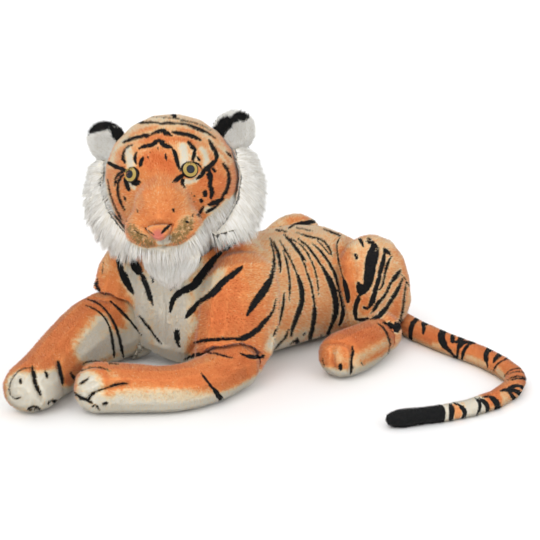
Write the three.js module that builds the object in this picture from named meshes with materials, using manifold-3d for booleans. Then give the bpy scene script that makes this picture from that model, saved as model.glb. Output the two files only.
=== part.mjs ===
// A stuffed plush tiger that lies on its belly with its forelegs stretched out, in millimetres.
// +Z is up, the tiger faces -Y, its left side is at +X, and the origin is in the middle of the
// flat under its belly. Sewn pile fabric covers hold their stuffing, and the head, ears, forelegs,
// hind feet and tail flex at their seams.
import * as THREE from "three";
import { mergeVertices } from "three/addons/utils/BufferGeometryUtils.js";
import Module from "manifold-3d";

const wasm = await Module();
wasm.setup();

// Torso
const bodyLength = 484;
const bodyWidth = 236;
const bodyHeight = 214;

// Head, carried above the front of the torso
const headWidth = 222;
const headDepth = 204;
const headHeight = 218;
const headLift = 124;
const neckRadius = 66;
const neckDrop = 82;
const neckSetback = 20;

// Muzzle, nose and chin
const muzzleWidth = 118;
const muzzleHeight = 92;
const muzzleReach = 58;
const noseWidth = 40;
const noseHeight = 26;
const noseThickness = 12;
const chinWidth = 52;
const chinHeight = 36;
const chinDepth = 56;

// Eyes with a stem and a lock washer
const eyeDiameter = 29;
const eyeDomeHeight = 9;
const eyeStemDiameter = 6;
const eyeStemLength = 17;
const washerDiameter = 20;
const washerThickness = 3;

// Ears
const earWidth = 72;
const earHeight = 80;
const earThickness = 24;
const earDishDepth = 6;

// Long-pile ruff and beard
const ruffDepth = 80;
const ruffThickness = 48;
const beardWidth = 108;
const beardHeight = 74;
const beardDepth = 76;

// Forelegs
const shoulderWidth = 100;
const shoulderLength = 150;
const shoulderHeight = 214;
const forelegThickness = 76;

// Hind legs
const thighWidth = 104;
const thighLength = 166;
const thighHeight = 200;
const hindFootWidth = 82;
const hindFootHeight = 80;

// Tail
const tailDiameter = 42;
const tailAcross = 462;
const tailAlong = 250;

// Fabric, seams and rest
const fabricWall = 5;
const seamGap = 0.3;
const restDepth = 0.5;
const swingClearance = 3;
const bellyPanelHeight = 30;

// How the head is turned and tipped, and the motion at the seams, in degrees
const headYawDegrees = 47.5;
const headRollDegrees = -5.5;
const neckTurnDegrees = 14;
const neckNodDegrees = 6;
const earFoldDegrees = 15;
const forelegSwingDegrees = 16;
const hindFootDegrees = 8;
const tailSwingDegrees = 24;
const radians = THREE.MathUtils.degToRad;

// How square the limbs are in section, and the torso above and below
const limbSquareness = 2.2;
const torsoSquareness = { above: 2.15, below: 2.9 };

// Facets around and from pole to pole of the neck and of the room that the head turns in
const neckFacets = [18, 10];
const headRoomFacets = [16, 10];

// Pile colours and roughness
const roughnesses = { pile: 0.95, nose: 0.8, eye: 0.1, washer: 0.4 };
const colours = {
  orange: 0xe28247,
  white: 0xe6e4dc,
  black: 0x23282a,
  nose: 0xd9827c,
  eye: 0xa99a55,
  washer: 0xd8d8d4,
  fill: 0xf1f0ec,
};

function makeSolid(geometry) {
  const bare = geometry.clone();
  bare.deleteAttribute("normal");
  bare.deleteAttribute("uv");
  const merged = mergeVertices(bare);
  const mesh = new wasm.Mesh({
    numProp: 3,
    vertProperties: merged.attributes.position.array,
    triVerts: new Uint32Array(merged.index.array),
  });
  return new wasm.Manifold(mesh);
}

function makeGeometry(solid) {
  const mesh = solid.getMesh();
  const geometry = new THREE.BufferGeometry();
  geometry.setAttribute("position", new THREE.BufferAttribute(mesh.vertProperties, mesh.numProp));
  geometry.setIndex(new THREE.BufferAttribute(mesh.triVerts, 1));
  geometry.computeVertexNormals();
  return geometry;
}

function signedVolume(positions, index) {
  const [a, b, c] = [new THREE.Vector3(), new THREE.Vector3(), new THREE.Vector3()];
  let sum = 0;
  for (let i = 0; i < index.length; i += 3) {
    a.fromArray(positions, 3 * index[i]);
    b.fromArray(positions, 3 * index[i + 1]);
    c.fromArray(positions, 3 * index[i + 2]);
    sum += a.dot(b.cross(c));
  }
  return sum;
}

// A closed skin through rings of points, with a pole point at each end.
function skin(startPole, rings, endPole) {
  const sides = rings[0].length;
  const points = [startPole, ...rings.flat(), endPole];
  const positions = new Float32Array(points.flatMap((point) => point.toArray()));
  const last = points.length - 1;
  const index = [];
  for (let side = 0; side < sides; side++) {
    const next = (side + 1) % sides;
    index.push(0, 1 + next, 1 + side);
    index.push(last, last - sides + side, last - sides + next);
    for (let ring = 0; ring < rings.length - 1; ring++) {
      const low = 1 + ring * sides;
      const high = low + sides;
      index.push(low + side, low + next, high + side);
      index.push(low + next, high + next, high + side);
    }
  }
  if (signedVolume(positions, index) < 0) index.reverse();
  const geometry = new THREE.BufferGeometry();
  geometry.setAttribute("position", new THREE.BufferAttribute(positions, 3));
  geometry.setIndex(index);
  return makeSolid(geometry);
}

function spread(value, squareness) {
  return Math.sign(value) * Math.abs(value) ** (2 / squareness);
}

// A value read smoothly from a list of shares that are evenly spaced from 0 to 1.
function readShare(shares, at) {
  const points = shares.map((share, i) => new THREE.Vector2(i, share));
  return new THREE.SplineCurve(points).getPoint(at).y;
}

// A stuffed limb along a curve. Its half sizes are read from shares, its ends are round unless they
// are cut square, and an inset draws its whole surface inwards.
function limb(options) {
  const { curve, width, height, widthShares, heightShares, reference } = options;
  const { from = 0, to = 1, inset = 0, sides = 12, count = 9 } = options;
  const { roundStart = true, roundEnd = true, overrun = 0, squareness = limbSquareness } = options;
  const length = curve.getLength();
  const start = from * length + (roundStart ? inset : 0);
  const end = to * length - (roundEnd ? inset : 0);
  const cap = Math.min(width, height) / 2 - inset;
  const rings = [];
  for (let i = roundStart ? 1 : 0; i <= (roundEnd ? count - 1 : count); i++) {
    const ease = (1 - Math.cos((Math.PI * i) / count)) / 2;
    const along = start + (end - start) * ease;
    const fromStart = roundStart ? Math.max(0, 1 - (along - start) / cap) : 0;
    const fromEnd = roundEnd ? Math.max(0, 1 - (end - along) / cap) : 0;
    const round = Math.sqrt(1 - Math.max(fromStart, fromEnd) ** 2);
    const at = THREE.MathUtils.clamp(along / length, 0, 1);
    const half = [
      ((width / 2) * readShare(widthShares, at) - inset) * round,
      ((height / 2) * readShare(heightShares, at) - inset) * round,
    ];
    rings.push(limbRing(curve, along, half, reference, squareness, sides));
  }
  return skin(...runOn(curve, rings, roundStart ? 0 : overrun, roundEnd ? 0 : overrun, start, end));
}

// Rings with their two poles, run on past the square ends by an overrun.
function runOn(curve, rings, before, after, start, end) {
  const shift = (ring, along, by) => {
    const tangent = curve.getTangentAt(THREE.MathUtils.clamp(along / curve.getLength(), 0, 1));
    return ring.map((point) => point.clone().addScaledVector(tangent, by));
  };
  const all = [...rings];
  if (before > 0) all.unshift(shift(rings[0], start, -before));
  if (after > 0) all.push(shift(rings[rings.length - 1], end, after));
  return [placeAt(curve, start - before), all, placeAt(curve, end + after)];
}

// A place along a curve, which runs on straight past its two ends.
function placeAt(curve, along) {
  const inside = THREE.MathUtils.clamp(along / curve.getLength(), 0, 1);
  const past = along - inside * curve.getLength();
  return curve.getPointAt(inside).addScaledVector(curve.getTangentAt(inside), past);
}

function limbRing(curve, along, half, reference, squareness, sides) {
  const centre = placeAt(curve, along);
  const tangent = curve.getTangentAt(THREE.MathUtils.clamp(along / curve.getLength(), 0, 1));
  const side = new THREE.Vector3().crossVectors(reference, tangent).normalize();
  const rise = new THREE.Vector3().crossVectors(tangent, side);
  return Array.from({ length: sides }, (_, i) => {
    const angle = (2 * Math.PI * (i + 0.5)) / sides;
    const across = half[0] * spread(Math.cos(angle), squareness);
    const upward = half[1] * spread(Math.sin(angle), squareness);
    return centre.clone().addScaledVector(side, across).addScaledVector(rise, upward);
  });
}

function ellipsoid(centre, halfSizes, turn = new THREE.Euler(), around = 20, rows = 13) {
  const ball = new THREE.SphereGeometry(1, around, rows);
  const scale = new THREE.Matrix4().makeScale(...halfSizes);
  const place = new THREE.Matrix4().makeRotationFromEuler(turn).setPosition(centre);
  return makeSolid(ball.applyMatrix4(scale).applyMatrix4(place));
}

// A ball with its poles up, so that a finer or turned one fits round it.
function ball(centre, radius, around = 12, rows = 7, turn = 0) {
  const geometry = new THREE.SphereGeometry(radius, around, rows);
  geometry.rotateX(Math.PI / 2).rotateZ(turn);
  return makeSolid(geometry.translate(centre.x, centre.y, centre.z));
}

// The hollow that a ball turns in: its flats face the corners of the ball and clear them.
function socket(centre, radius, around = 12, rows = 7, tilts = false) {
  const flat = Math.cos(Math.PI / around) * (tilts ? Math.cos(Math.PI / rows / 2) : 1);
  return ball(centre, (radius + seamGap / 2) / flat, around, rows, Math.PI / around);
}

function box(low, high) {
  const size = high.clone().sub(low);
  const geometry = new THREE.BoxGeometry(size.x, size.y, size.z);
  const middle = low.clone().add(high).divideScalar(2);
  return makeSolid(geometry.translate(middle.x, middle.y, middle.z));
}

// Half spaces, as boxes that reach past the whole toy
const farOut = 3 * (bodyLength + bodyWidth);
const reach = new THREE.Vector3(farOut, farOut, farOut);

function below(height) {
  return box(reach.clone().negate(), new THREE.Vector3(farOut, farOut, height));
}

function above(height) {
  return box(new THREE.Vector3(-farOut, -farOut, height), reach);
}

function leftOf(across) {
  return box(new THREE.Vector3(across, -farOut, -farOut), reach);
}

function rightOf(across) {
  return box(reach.clone().negate(), new THREE.Vector3(across, farOut, farOut));
}

// The same solid turned about an axis through a centre.
function turned(solid, centre, axis, degrees) {
  const turn = new THREE.Matrix4().makeRotationAxis(axis, radians(degrees));
  const geometry = makeGeometry(solid).translate(-centre.x, -centre.y, -centre.z);
  return makeSolid(geometry.applyMatrix4(turn).translate(centre.x, centre.y, centre.z));
}

// Room for a limb that swings about an upright axis through a centre.
function swingRoom(options, centre, lowDegrees, highDegrees) {
  const grown = limb({ ...options, inset: -swingClearance });
  const low = turned(grown, centre, up, lowDegrees);
  return low.add(turned(grown, centre, up, highDegrees));
}

function frontOf(along) {
  return box(reach.clone().negate(), new THREE.Vector3(farOut, along, farOut));
}

function behind(along) {
  return box(new THREE.Vector3(-farOut, along, -farOut), reach);
}

const floor = below(0);
const up = new THREE.Vector3(0, 0, 1);
const root = new THREE.Group();
root.name = "plush_tiger";

function addPiece(name, solid, colour, parent = root, roughness = roughnesses.pile) {
  const material = new THREE.MeshStandardMaterial({ color: colour, roughness, metalness: 0 });
  const mesh = new THREE.Mesh(makeGeometry(solid), material);
  mesh.name = name;
  parent.add(mesh);
  return mesh;
}

// The spine, from the chest to the rump, as shares of the body's width and length: its front turns
// to the tiger's left.
const spineShares = [
  [0.2, -0.54],
  [0.11, -0.38],
  [0.03, -0.2],
  [0, 0],
  [0, 0.25],
  [0, 0.52],
];

function spineCurve() {
  const points = spineShares.map(([x, y]) => new THREE.Vector3(x * bodyWidth, y * bodyLength, 0));
  return new THREE.CatmullRomCurve3(points, false, "centripetal");
}

const spine = spineCurve();
const spineLength = spine.getLength();

// A place on the body: across to its left and up, at a share of the spine from chest to rump.
function onBody(at, across, height) {
  const tangent = spine.getTangentAt(THREE.MathUtils.clamp(at, 0, 1));
  const left = new THREE.Vector3(tangent.y, -tangent.x, 0);
  return placeAt(spine, at * spineLength).addScaledVector(left, across).setZ(height);
}

// Torso: rings from the chest to the rump, each with its place along the spine, its half width,
// its top and its bottom as shares of the spine, half width and height.
const torsoShares = [
  [0.035, 0.5, 0.84, 0.26],
  [0.07, 0.74, 1.0, 0.14],
  [0.12, 0.84, 1.14, 0.05],
  [0.19, 0.88, 1.24, 0],
  [0.27, 0.94, 1.24, 0],
  [0.35, 1.02, 1.12, 0],
  [0.44, 1.01, 1.0, 0],
  [0.56, 0.98, 0.96, 0],
  [0.68, 0.96, 0.975, 0],
  [0.8, 0.95, 0.93, 0],
  [0.9, 0.85, 0.82, 0],
  [0.96, 0.66, 0.7, 0.05],
  [0.99, 0.4, 0.54, 0.15],
];
const torsoEndShares = [0.015, 1.0];
const torsoEndHeightShares = [0.54, 0.35];
const torsoMiddleShare = 0.42;

function torsoRing([at, wide, top, bottom], inset, sides) {
  const low = bottom * bodyHeight - restDepth + inset;
  const high = top * bodyHeight - inset;
  const middle = low + (high - low) * torsoMiddleShare;
  const half = (wide * bodyWidth) / 2 - inset;
  return Array.from({ length: sides }, (_, i) => {
    const angle = (2 * Math.PI * i) / sides;
    const rise = spread(Math.sin(angle), squarenessAt(angle));
    const across = half * spread(Math.cos(angle), squarenessAt(angle));
    const height = middle + rise * (rise > 0 ? high - middle : middle - low);
    return onBody(drawnIn(at, inset), across, height);
  });
}

// A share of the spine drawn in from both ends by an inset.
function drawnIn(at, inset) {
  return at + (inset * (1 - 2 * at)) / spineLength;
}

// The torso is round above and flatter below, where it lies on the ground.
function squarenessAt(angle) {
  return Math.sin(angle) < 0 ? torsoSquareness.below : torsoSquareness.above;
}

function torsoSolid(inset, sides = 20) {
  const rings = torsoShares.map((share) => torsoRing(share, inset, sides));
  const [start, end] = torsoEndShares.map((share, i) =>
    onBody(drawnIn(share, inset), 0, torsoEndHeightShares[i] * bodyHeight),
  );
  return skin(start, rings, end);
}

// The head's own frame: its face looks along -Y, turned to the tiger's left and tipped to its right
const headSpineShare = 0.1;
const headCentre = onBody(headSpineShare, 0, bodyHeight + headLift);
const neckCentre = onBody(headSpineShare + neckSetback / spineLength, 0, headCentre.z - neckDrop);
const headGroup = new THREE.Group();
headGroup.position.copy(headCentre);
headGroup.rotation.set(0, radians(headRollDegrees), radians(headYawDegrees), "ZYX");
headGroup.updateMatrixWorld(true);
root.add(headGroup);

function skull(grow, around = 18, rows = 11) {
  const half = [headWidth / 2 + grow, headDepth / 2 + grow, headHeight / 2 + grow];
  return ellipsoid(new THREE.Vector3(), half, new THREE.Euler(), around, rows);
}

// The same solid seen from the head's own frame, and back.
function toHead(solid) {
  return makeSolid(makeGeometry(solid).applyMatrix4(headGroup.matrixWorld.clone().invert()));
}

function fromHead(solid) {
  return makeSolid(makeGeometry(solid).applyMatrix4(headGroup.matrixWorld));
}

// How far the head sways over the torso when it turns and nods about the neck
const headSway =
  neckDrop * Math.sin(radians(neckNodDegrees)) + neckSetback * Math.sin(radians(neckTurnDegrees));

// The long pile hangs lower than the head, so it sways further.
const pileSwayShare = 2.8;
const pileSway = headSway * pileSwayShare;

function buildTorso() {
  const rooms = [
    fromHead(skull(headSway + seamGap, ...headRoomFacets)),
    socket(neckCentre, neckRadius, ...neckFacets, true),
    socket(tailPoint(0), tailRadius(0)),
    swingRoom({ ...tailOptions, to: tailSeamShares[1] }, tailPoint(0), 0, tailSwingDegrees),
    ...sideNames.map(([name]) => socket(elbowOf(name), elbowRadiusOf(name))),
  ];
  const cuts = rooms.reduce((all, one) => all.add(one), floor);
  const cover = torsoSolid(0).subtract(torsoSolid(fabricWall, 12)).subtract(cuts);
  const upper = cover.intersect(above(bellyPanelHeight + seamGap));
  addPiece("torso_cover_left", upper.intersect(leftOf(seamGap / 2)), colours.orange);
  addPiece("torso_cover_right", upper.intersect(rightOf(-seamGap / 2)), colours.orange);
  addPiece("belly_panel", cover.intersect(below(bellyPanelHeight)), colours.white);
  const filling = torsoSolid(fabricWall + seamGap, 12).subtract(cuts);
  addPiece("torso_stuffing", filling, colours.fill);
}

// Neck: a stuffed ball between the torso and the head
function buildNeck() {
  addPiece("neck_stuffing", ball(neckCentre, neckRadius, ...neckFacets), colours.fill);
}

// Shoulders and thighs: upright stuffed pads sewn to the sides of the torso. Each path runs from
// the bottom to the top, as shares of the spine, the body's width and the pad's height.
const shoulderPathShares = [
  [0.12, 0.42, 0.0],
  [0.14, 0.48, 0.28],
  [0.17, 0.5, 0.58],
  [0.2, 0.46, 0.86],
  [0.22, 0.36, 1.0],
];
const shoulderReachShares = { left: -0.01, right: -0.035 };
const shoulderWidthShares = [0.96, 1, 1, 0.96, 0.8];
const shoulderLengthShares = [0.8, 0.96, 1, 0.96, 0.8];
const thighPathShares = [
  [0.85, 0.5, 0.0],
  [0.85, 0.5, 0.3],
  [0.83, 0.49, 0.65],
  [0.805, 0.44, 1.0],
];
const thighWidthShares = [0.9, 1, 0.96, 0.7];
const thighLengthShares = [0.86, 1.03, 0.95, 0.74];

function padOptions(sign, reachShare, shares, size, widthShares, lengthShares) {
  const points = shares.map(([at, x, z]) =>
    onBody(at + reachShare, sign * x * bodyWidth, z * size[2]),
  );
  return {
    curve: new THREE.CatmullRomCurve3(points, false, "centripetal"),
    width: size[0],
    height: size[1],
    widthShares,
    heightShares: lengthShares,
    reference: new THREE.Vector3(0, 1, 0),
    sides: 12,
    count: 8,
  };
}

// A limb's outer skin, the inside of its cover and its filling.
function layers(options) {
  const inner = { ...options, sides: 8, count: 6 };
  return [
    limb(options),
    limb({ ...inner, inset: fabricWall, overrun: fabricWall }),
    limb({ ...inner, inset: fabricWall + seamGap }),
  ];
}

function ballLayers(centre, radius) {
  return [
    ball(centre, radius),
    ball(centre, radius - fabricWall, 8, 6),
    ball(centre, radius - fabricWall - seamGap, 8, 6),
  ];
}

function joinLayers(first, second) {
  return first.map((solid, i) => solid.add(second[i]));
}

function addStuffed(coverName, fillingName, [outer, inner, filling], cuts, colour, parent) {
  addPiece(coverName, outer.subtract(inner).subtract(cuts), colour, parent);
  addPiece(fillingName, filling.subtract(cuts), colours.fill, parent);
}

const sideNames = [
  ["left", 1],
  ["right", -1],
];

// Forelegs: each lies on the ground from the elbow to the paw, as shares of the body's width and
// length. The left one bends inwards, and the right one reaches further forward.
const forelegPathShares = {
  left: [
    [0.68, -0.37],
    [0.76, -0.5],
    [0.74, -0.63],
    [0.54, -0.77],
    [0.34, -0.9],
  ],
  right: [
    [-0.38, -0.5],
    [-0.32, -0.62],
    [-0.17, -0.76],
    [0.05, -0.93],
    [0.255, -1.08],
  ],
};
const forelegWidthShares = {
  left: [1.04, 1.0, 0.98, 1.1, 1.14],
  right: [1.5, 1.42, 1.28, 1.2, 1.16],
};
const forelegHeightShares = {
  left: [1.14, 1.04, 0.98, 1.04, 1.1],
  right: [1.7, 1.7, 1.46, 1.14, 1.02],
};
const wristShare = 0.6;
const elbowRoomShare = 0.35;

function forelegCurve(name) {
  const heights = forelegHeightShares[name];
  const points = forelegPathShares[name].map(
    ([x, y], i) =>
      new THREE.Vector3(
        x * bodyWidth,
        y * bodyLength,
        (forelegThickness / 2) * heights[i] - restDepth,
      ),
  );
  return new THREE.CatmullRomCurve3(points, false, "centripetal");
}

function forelegOptions(name) {
  return {
    curve: forelegCurve(name),
    width: forelegThickness,
    height: forelegThickness,
    widthShares: forelegWidthShares[name],
    heightShares: forelegHeightShares[name],
    reference: up,
  };
}

function elbowOf(name) {
  return forelegCurve(name).getPointAt(0);
}

function elbowRadiusOf(name) {
  return elbowOf(name).z + restDepth;
}

function buildForeleg(name, sign) {
  const elbow = elbowOf(name);
  const whole = { ...forelegOptions(name), roundStart: false };
  const near = { ...whole, to: elbowRoomShare, roundEnd: false, count: 4 };
  const padCuts = grownTorso
    .add(socket(elbow, elbowRadiusOf(name)))
    .add(swingRoom(near, elbow, 0, sign * forelegSwingDegrees))
    .add(fromHead(skull(headSway + 2 * seamGap, ...headRoomFacets)))
    .add(floor);
  const pad = padOptions(
    sign,
    shoulderReachShares[name],
    shoulderPathShares,
    [shoulderWidth, shoulderLength, shoulderHeight],
    shoulderWidthShares,
    shoulderLengthShares,
  );
  addStuffed(`shoulder_${name}`, `shoulder_stuffing_${name}`, layers(pad), padCuts, colours.orange);

  const legCuts = torsoSolid(-swingClearance).subtract(socket(elbow, elbowRadiusOf(name))).add(floor);
  const arm = { ...whole, to: wristShare, roundEnd: false };
  const armLayers = joinLayers(layers(arm), ballLayers(elbow, elbowRadiusOf(name)));
  addStuffed(`forearm_${name}`, `forearm_stuffing_${name}`, armLayers, legCuts, colours.orange);
  const gapShare = seamGap / whole.curve.getLength();
  const paw = { ...whole, from: wristShare + gapShare, count: 8 };
  addStuffed(`forepaw_${name}`, `forepaw_stuffing_${name}`, layers(paw), legCuts, colours.white);
}

// Hind legs
const hindFootPathShares = [
  [0.78, 0.27],
  [0.89, 0.17],
  [0.95, 0.05],
  [0.99, -0.09],
];
const hindFootWidthShares = [0.8, 0.9, 1.0, 1.0];
const hindFootHeightShares = [0.85, 0.95, 1.0, 0.94];
const heelRoomShare = 0.6;

function hindFootCurve(sign) {
  const points = hindFootPathShares.map(
    ([x, y]) =>
      new THREE.Vector3(sign * x * bodyWidth, y * bodyLength, hindFootHeight / 2 - restDepth),
  );
  return new THREE.CatmullRomCurve3(points, false, "centripetal");
}

function buildHindLeg(name, sign) {
  const curve = hindFootCurve(sign);
  const heel = curve.getPointAt(0);
  const heelRadius = hindFootHeight / 2;
  const foot = {
    curve,
    width: hindFootWidth,
    height: hindFootHeight,
    widthShares: hindFootWidthShares,
    heightShares: hindFootHeightShares,
    reference: up,
    roundStart: false,
  };
  const pad = padOptions(
    sign,
    0,
    thighPathShares,
    [thighWidth, thighLength, thighHeight],
    thighWidthShares,
    thighLengthShares,
  );
  const footHollow = socket(heel, heelRadius);
  const near = { ...foot, to: heelRoomShare, roundEnd: false, count: 3 };
  const footRoom = swingRoom(near, heel, -hindFootDegrees, hindFootDegrees);
  const padCuts = grownTorso
    .add(footRoom.subtract(ball(heel, heelRadius)))
    .add(limb({ ...tailOptions, to: tailSeamShares[1], inset: -swingClearance }))
    .add(floor);
  const padLayers = joinLayers(layers(pad), ballLayers(heel, heelRadius));
  addStuffed(`thigh_${name}`, `thigh_stuffing_${name}`, padLayers, padCuts, colours.orange);
  const footCuts = grownTorso.add(footHollow).add(floor);
  const names = [`hind_foot_${name}`, `hind_foot_stuffing_${name}`];
  addStuffed(...names, layers(foot), footCuts, colours.white);
}

// Tail: it leaves the rump, lies along the ground past the left thigh and turns forward. Its points
// are shares of how far it reaches across and along.
const tailPathShares = [
  [0.0, 0.93],
  [0.06, 1.03],
  [0.17, 1.02],
  [0.3, 0.95],
  [0.52, 0.9],
  [0.8, 0.88],
  [0.97, 0.76],
  [1.035, 0.5],
  [1.035, 0.15],
  [0.935, -0.37],
];
const tailThicknessShares = [1, 1, 1, 0.96, 0.92, 0.88, 0.8, 0.72, 0.67, 0.65];
const tailRootRiseShare = 0.4;
const tailSeamShares = [0, 0.34, 0.6, 0.88, 1];

const tail = tailCurve();
const tailOptions = {
  curve: tail,
  width: tailDiameter,
  height: tailDiameter,
  widthShares: tailThicknessShares,
  heightShares: tailThicknessShares,
  reference: up,
  squareness: 2,
  sides: 10,
  count: 6,
  roundStart: false,
  roundEnd: false,
};

function tailCurve() {
  const points = tailPathShares.map(([x, y], i) => {
    const rest = (tailDiameter / 2) * tailThicknessShares[i] - restDepth;
    const rise = i === 0 ? tailRootRiseShare * tailDiameter : 0;
    return new THREE.Vector3(x * tailAcross, y * tailAlong, rest + rise);
  });
  return new THREE.CatmullRomCurve3(points, false, "centripetal");
}

function tailPoint(at) {
  return tail.getPointAt(at);
}

function tailRadius(at) {
  return (tailDiameter / 2) * readShare(tailThicknessShares, at);
}

function tailBall(at) {
  return ball(tailPoint(at), tailRadius(at));
}

function tailSocket(at) {
  return socket(tailPoint(at), tailRadius(at), 12, 7, true);
}

// The tail is sewn from four stretches. The first three flex on balls of stuffing at their seams.
function buildTail() {
  const [root0, base, bend, end, tip] = tailSeamShares;
  const gapShare = seamGap / tail.getLength();
  const stretch = (from, to, more) => limb({ ...tailOptions, from, to, ...more });
  const baseSolid = stretch(root0, base).add(tailBall(root0)).add(tailBall(base));
  addPiece("tail_base", baseSolid.subtract(floor), colours.orange);
  const bendSolid = stretch(base, bend).subtract(tailSocket(base)).add(tailBall(bend));
  addPiece("tail_bend", bendSolid.subtract(floor), colours.orange);
  const endSolid = stretch(bend, end).subtract(tailSocket(bend));
  addPiece("tail_end", endSolid.subtract(floor), colours.white);
  const tipSolid = stretch(end + gapShare, tip, { roundEnd: true });
  addPiece("tail_tip", tipSolid.subtract(floor), colours.black);
}

// Muzzle: a bridge that slopes down between the eyes, and two lobes beside the nose
const bridgeShares = { back: 0.44, drop: 0.12, width: 0.42, depth: 1.05, height: 0.62 };
const lobeShares = { back: 0.57, drop: 0.25, across: 0.23, width: 0.3, depth: 0.62, height: 0.42 };
const bridgeTilt = 0.5;
const lobeTilt = 0.2;

function muzzleSolid(inset, around = 12, rows = 7) {
  const bridge = ellipsoid(
    new THREE.Vector3(0, -headDepth * bridgeShares.back, -headHeight * bridgeShares.drop),
    [
      muzzleWidth * bridgeShares.width - inset,
      muzzleReach * bridgeShares.depth - inset,
      muzzleHeight * bridgeShares.height - inset,
    ],
    new THREE.Euler(bridgeTilt, 0, 0),
    around,
    rows,
  );
  const lobes = sideNames.map(([, sign]) =>
    ellipsoid(
      new THREE.Vector3(
        sign * muzzleWidth * lobeShares.across,
        -headDepth * lobeShares.back,
        -headHeight * lobeShares.drop,
      ),
      [
        muzzleWidth * lobeShares.width - inset,
        muzzleReach * lobeShares.depth - inset,
        muzzleHeight * lobeShares.height - inset,
      ],
      new THREE.Euler(lobeTilt, 0, 0),
      around,
      rows,
    ),
  );
  return bridge.add(lobes[0]).add(lobes[1]);
}

// A place on the skull and its outward direction, at shares of the half width and half height.
function onSkull(acrossShare, upShare) {
  const back = -Math.sqrt(1 - acrossShare ** 2 - upShare ** 2);
  const place = new THREE.Vector3(
    (acrossShare * headWidth) / 2,
    (back * headDepth) / 2,
    (upShare * headHeight) / 2,
  );
  const outward = new THREE.Vector3(
    acrossShare / headWidth,
    back / headDepth,
    upShare / headHeight,
  ).normalize();
  return { place, outward };
}

// A turned piece whose axis stands on a place and points along a direction.
function standOn(profile, place, direction, turns = 12) {
  const points = profile.map(([radius, height]) => new THREE.Vector2(radius, height));
  const turn = new THREE.Quaternion().setFromUnitVectors(new THREE.Vector3(0, 1, 0), direction);
  const matrix = new THREE.Matrix4().makeRotationFromQuaternion(turn).setPosition(place);
  return makeSolid(new THREE.LatheGeometry(points, turns).applyMatrix4(matrix));
}

const eyeAcrossShare = 0.42;
const eyeUpShare = 0.28;
const eyeDomeShares = [1, 0.94, 0.78, 0.5];

function buildEye(name, sign) {
  const { place, outward } = onSkull(sign * eyeAcrossShare, eyeUpShare);
  const radius = eyeDiameter / 2;
  const stem = eyeStemDiameter / 2;
  const dome = eyeDomeShares.map((share) => [
    radius * share,
    seamGap + eyeDomeHeight * Math.sqrt(1 - share ** 2),
  ]);
  const profile = [
    [0, -eyeStemLength],
    [stem, -eyeStemLength],
    [stem, seamGap],
    ...dome,
    [0, seamGap + eyeDomeHeight],
  ];
  addPiece(`eye_${name}`, standOn(profile, place, outward), colours.eye, headGroup, roughnesses.eye);
  const top = -fabricWall - seamGap;
  const inside = stem + seamGap;
  const washer = [
    [inside, top - washerThickness],
    [washerDiameter / 2, top - washerThickness],
    [washerDiameter / 2, top],
    [inside, top],
    [inside, top - washerThickness],
  ];
  const material = [colours.washer, headGroup, roughnesses.washer];
  addPiece(`eye_washer_${name}`, standOn(washer, place, outward), ...material);
}

// The room for a round piece of an eye, from a top height down past the end of the stem
function eyeRoom(sign, width, top) {
  const { place, outward } = onSkull(sign * eyeAcrossShare, eyeUpShare);
  const radius = width / 2 + seamGap;
  const low = -eyeStemLength - seamGap;
  const profile = [
    [0, low],
    [radius, low],
    [radius, top],
    [0, top],
  ];
  return standOn(profile, place, outward);
}

// Ears: a dished pile front on a dark back. Each folds about the line where it meets the head.
const earRiseDegrees = 30;
const earTurnDegrees = 17;
const earCentreShare = 0.22;
const earRoomShare = 1.5;
const earDishShares = [0.62, 0.62];

// The ear's own frame: out from the head, back, and along the line it folds about.
function earFrame(sign) {
  const [rise, turn] = [radians(earRiseDegrees), radians(earTurnDegrees)];
  const outward = new THREE.Vector3(
    sign * Math.cos(rise) * Math.cos(turn),
    Math.cos(rise) * Math.sin(turn),
    Math.sin(rise),
  );
  const front = new THREE.Vector3(sign * Math.sin(turn), -Math.cos(turn), 0);
  const fold = new THREE.Vector3().crossVectors(front, outward).normalize();
  const back = new THREE.Vector3().crossVectors(fold, outward).normalize();
  const size = new THREE.Vector3(headWidth, headDepth, headHeight).divideScalar(2);
  const base = outward.clone().divideScalar(outward.clone().divide(size).length());
  const centre = base.clone().addScaledVector(outward, earCentreShare * earHeight);
  const matrix = new THREE.Matrix4().makeBasis(outward, back, fold).setPosition(centre);
  return { base, fold, matrix };
}

function inFrame(solid, matrix) {
  return makeSolid(makeGeometry(solid).applyMatrix4(matrix));
}

function earEllipsoid(matrix, halfSizes, offset = 0, around = 14, rows = 8) {
  const centre = new THREE.Vector3(0, offset, 0);
  return inFrame(ellipsoid(centre, halfSizes, new THREE.Euler(), around, rows), matrix);
}

function earWhole(sign, grow, growThickness) {
  const half = [earHeight / 2 + grow, earThickness / 2 + growThickness, earWidth / 2 + grow];
  return earEllipsoid(earFrame(sign).matrix, half, 0, 16, 10);
}

function buildEar(name, sign) {
  const { base, fold, matrix } = earFrame(sign);
  const clear = skull(seamGap);
  const seat = clear
    .add(turned(clear, base, fold, -earFoldDegrees))
    .add(turned(clear, base, fold, earFoldDegrees));
  const seated = earWhole(sign, 0, 0).subtract(seat);
  const dishHalf = [
    (earHeight / 2) * earDishShares[0],
    earDishDepth,
    (earWidth / 2) * earDishShares[1],
  ];
  const dish = earEllipsoid(matrix, dishHalf, -earThickness / 2, 12, 7);
  const frontHalf = inFrame(frontOf(-seamGap / 2), matrix);
  const backHalf = inFrame(behind(seamGap / 2), matrix);
  const front = seated.intersect(frontHalf).subtract(dish);
  addPiece(`ear_front_${name}`, front, colours.white, headGroup);
  addPiece(`ear_back_${name}`, seated.intersect(backHalf), colours.black, headGroup);
}

// The room that an ear takes while it folds
function earRoom(sign) {
  const fold = (earHeight / 2) * Math.sin(radians(earFoldDegrees)) * earRoomShare;
  return earWhole(sign, swingClearance, fold);
}

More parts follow.
